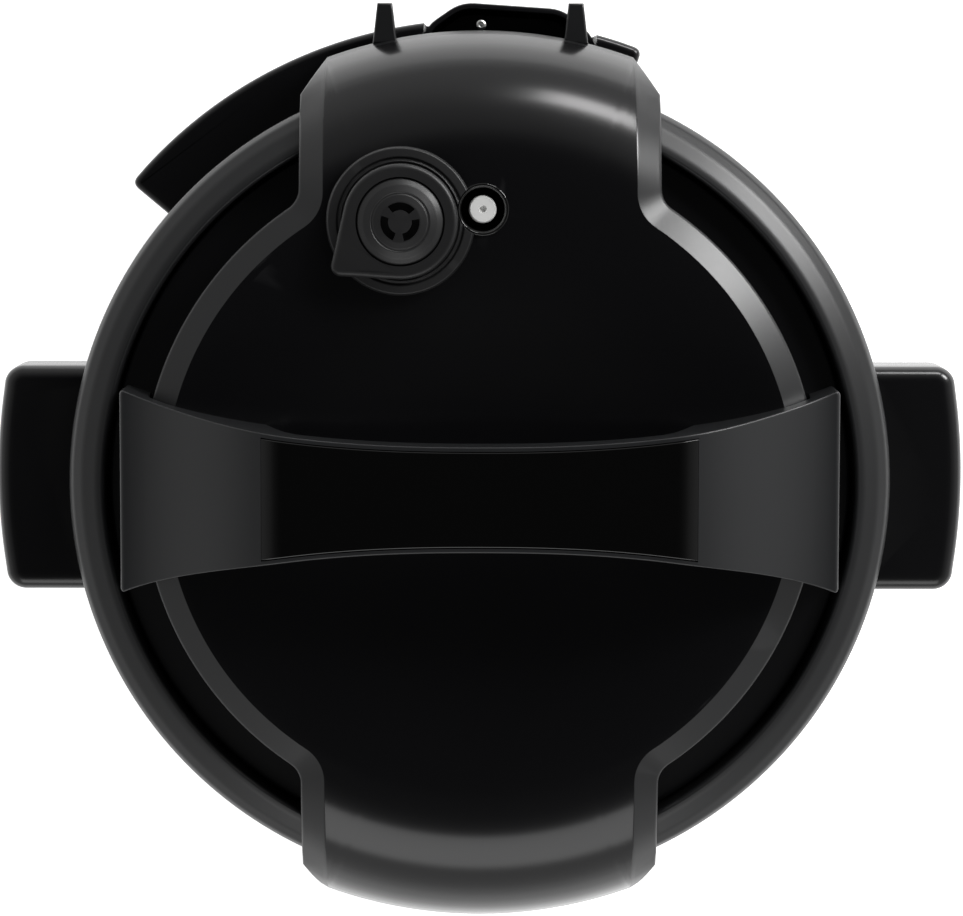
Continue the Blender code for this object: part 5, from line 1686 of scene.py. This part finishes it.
@dataclass
class Inside:
    """Pot, liner, heating plate, sensor and the covered pieces that keep their CAD shape."""

    levels: int = 8

    def make(self) -> None:
        """Builds the pieces and dresses the rest."""
        inner, rim = POT_R - SHEET, LINER_R + 3.4
        pot = turned("cooking_pot", [
            (0, POT_Z + SHEET), (POT_R - 9.4, POT_Z + SHEET), (inner - 2.8, POT_Z + 3.6),
            (inner, POT_Z + 9.2),
            (inner, RIM_Z - 2), (inner + 0.8, RIM_Z), (rim, RIM_Z), (rim, RIM_Z - SHEET),
            (POT_R + 1, RIM_Z - SHEET),
            (POT_R, RIM_Z - 2.5), (POT_R, POT_Z + 9), (POT_R - 3, POT_Z + 3), (POT_R - 9, POT_Z), (0, POT_Z)],
                     1.6)
        dress(pot, "pot", LOOKS.pot_wall, "inner_pot", slot="pot_steel")
        line = plate("pot_level_marks", oblong(0.35, 6.0, 0.3, (0, 0)), inner - 0.12, inner + 0.1, 0.05,
                     lambda z, u, d: Vector((u, math.sqrt(d * d - u * u), POT_Z + 52 + z)), 0.02)
        REPEAT.spread(line, LOOKS.screw, self.levels, 0.0, (0, 0, 11.5))
        dress(line, "pot", None, slot="pot_steel")
        low, hole = low_of("inner_liner", 2), 20.0
        top = high_of("inner_liner", 2)
        liner = turned("liner_can", [
            (LINER_R, top), (LINER_R + 9, top), (LINER_R + 9, top - 1), (LINER_R + 1, top - 1),
            (LINER_R + 1, low + 3),
            (LINER_R - 2, low), (hole, low), (hole, low + SHEET), (LINER_R - 2.6, low + SHEET),
            (LINER_R, low + 3.6)],
            0.9)
        dress(liner, "base", LOOKS.liner, "inner_liner", slot="cast_aluminium")
        low, high = low_of("heating_plate", 2), high_of("heating_plate", 2)
        far = POT_R - 8.5
        grooves = [(r + dr, high - dz - (r / far)) for r in range(92, 24, -8)
                   for dr, dz in ((1.6, 0.0), (1.0, 0.5), (-1.0, 0.5), (-1.6, 0.0))]
        heater = turned("heater_plate", [
            (15, low + 4), (far - 44, low + 4), (far - 42, low), (far - 26, low), (far - 24, low + 4),
            (far, low + 5),
            (far, high - 1)] + grooves + [(15, high)], 0.5)
        dress(heater, "base", LOOKS.cast, "heating_plate", slot="cast_aluminium")
        cap_low, cap_top = low_of("sensor_cap", 2), high_of("sensor_cap", 2)
        cap = turned("sensor_button", [
            (0, cap_top), (9, cap_top), (13, cap_top - 0.2), (14, cap_top - 1.4), (14, cap_top - 4.7),
            (4, cap_top - 4.7),
            (4, cap_low), (0, cap_low)], 0.6, segments=96)
        dress(cap, "sensor", LOOKS.liner, "sensor_cap", slot="cast_aluminium")
        spring = SpringTree().wind("sensor_coil", 4.0, 7.0, 0.8, low_of("sensor_spring", 2),
                                   high_of("sensor_spring", 2),
                                   LOOKS.screw)
        dress(spring, "base", None, "sensor_spring", slot="screw_steel")
        kept = {"main_board": LOOKS.board, "display_board": LOOKS.board, "thermal_fuse": LOOKS.brass,
                "pressure_switch": LOOKS.grey, "interlock_slider": LOOKS.screw, "lid_screw_left": LOOKS.screw,
                "lid_screw_right": LOOKS.screw}
        for node, finish in kept.items():
            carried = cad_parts[node]
            for slot_of in carried.material_slots:
                slot_of.material = finish
            LOG.info("%s: CAD shape with %s", node, finish.name)


# ---------------------------------------------------------------- studio


@dataclass
class Studio:
    """Pale floor, soft light and the camera over the lid.

    Attributes:
        height: Height of the camera, in metres.
        back: How far the camera stands behind the cooker's axis, in metres.
        lens: Its focal length, in mm.
    """

    height: float = 1.548
    back: float = 0.137
    lens: float = 138.8

    def make(self) -> None:
        """Builds the floor, the light and the camera."""
        scene = bpy.context.scene
        scene.view_settings.view_transform = "Standard"
        self.floor()
        self.surroundings(scene)
        axis_y = AXIS_Y * MM
        self.softbox("key", (1.05, axis_y + 0.85, 0.95), 0.5, 0.4, 15.0)
        self.softbox("rear_strip", (0.5, axis_y + 1.4, 0.95), 0.5, 0.35, 7.0)
        self.softbox("front_fill", (0.0, axis_y - 1.3, 1.25), 1.5, 0.8, 7.0)
        target = Vector((0.0006, axis_y + 0.0074, 0.248))
        camera = bpy.data.objects.new("camera", bpy.data.cameras.new("camera"))
        camera.location = (0.0004, axis_y + self.back, self.height)
        towards_front = (target - camera.location).to_track_quat("-Z", "Y")
        camera.rotation_euler = (towards_front @ Quaternion((0, 0, 1), math.pi)).to_euler()
        camera.data.lens = self.lens
        camera.data.clip_end = 100
        scene.collection.objects.link(camera)
        scene.camera = camera

    def floor(self) -> None:
        """A wide pale floor that keeps its light even."""
        material, sheet, shader = started("studio_floor")
        place = sheet.add("ShaderNodeTexCoord")
        cloud = sheet.add("ShaderNodeTexNoise", {"Vector": place.outputs["Object"], "Scale": 2.0})
        tone = sheet.add("ShaderNodeMix", {0: cloud.outputs[0], 6: (0.88, 0.88, 0.88, 1),
                                           7: (0.92, 0.92, 0.92, 1)},
                         data_type="RGBA")
        link(sheet, tone.outputs[2], shader.inputs["Base Color"])
        shader.inputs["Roughness"].default_value = 0.9
        shader.inputs["Emission Color"].default_value = (1, 1, 1, 1)
        shader.inputs["Emission Strength"].default_value = 0.75
        mesh = bpy.data.meshes.new("floor")
        mesh.from_pydata([(-6, -6, 0), (6, -6, 0), (6, 6, 0), (-6, 6, 0)], [], [(0, 1, 2, 3)])
        mesh.materials.append(material)
        floor = bpy.data.objects.new("floor", mesh)
        bpy.context.scene.collection.objects.link(floor)

    def surroundings(self, scene: bpy.types.Scene) -> None:
        """Soft light all round that leaves the air straight above dark."""
        world = bpy.data.worlds.new("studio")
        world.use_nodes = True
        scene.world = world
        sheet = Sheet(world.node_tree)
        place = sheet.add("ShaderNodeTexCoord")
        parts = sheet.add("ShaderNodeSeparateXYZ", {0: place.outputs["Generated"]})
        ramp = sheet.add("ShaderNodeValToRGB", {0: parts.outputs["Z"]})
        stops = ((0.0, 0.95), (0.35, 0.8), (0.62, 0.5), (0.82, 0.3), (0.93, 0.08), (0.98, 0.02))
        while len(ramp.color_ramp.elements) < len(stops):
            ramp.color_ramp.elements.new(0.5)
        for element, (position, value) in zip(ramp.color_ramp.elements, stops):
            element.position = position
            element.color = (value, value, value, 1)
        background = world.node_tree.nodes["Background"]
        sheet.tree.links.new(ramp.outputs[0], background.inputs["Color"])
        background.inputs["Strength"].default_value = 0.75

    def softbox(self, name: str, place: tuple[float, float, float], width: float, depth: float,
                power: float) -> None:
        """A rectangular light aimed at the lid."""
        light = bpy.data.lights.new(name, "AREA")
        light.shape = "RECTANGLE"
        light.size, light.size_y = width, depth
        light.energy = power
        made = bpy.data.objects.new(name, light)
        made.location = place
        made.rotation_euler = (Vector((0, AXIS_Y * MM, 0.25)) - Vector(place)).to_track_quat("-Z",
            "Y").to_euler()
        bpy.context.scene.collection.objects.link(made)


def main() -> None:
    """Builds the cooker's looks and the studio."""
    logging.basicConfig(level=logging.INFO, format="%(message)s")
    cover = LidCover()
    for part in (cover, LidHandle(cover), SteamValve(), FloatValve(), LidUnderside(), Body(), SideHandles(),
                 RearHousing(), ControlPanel(), Inside(), Studio()):
        part.make()
        LOG.info("made %s", type(part).__name__)


if __name__ == "__main__":
    main()
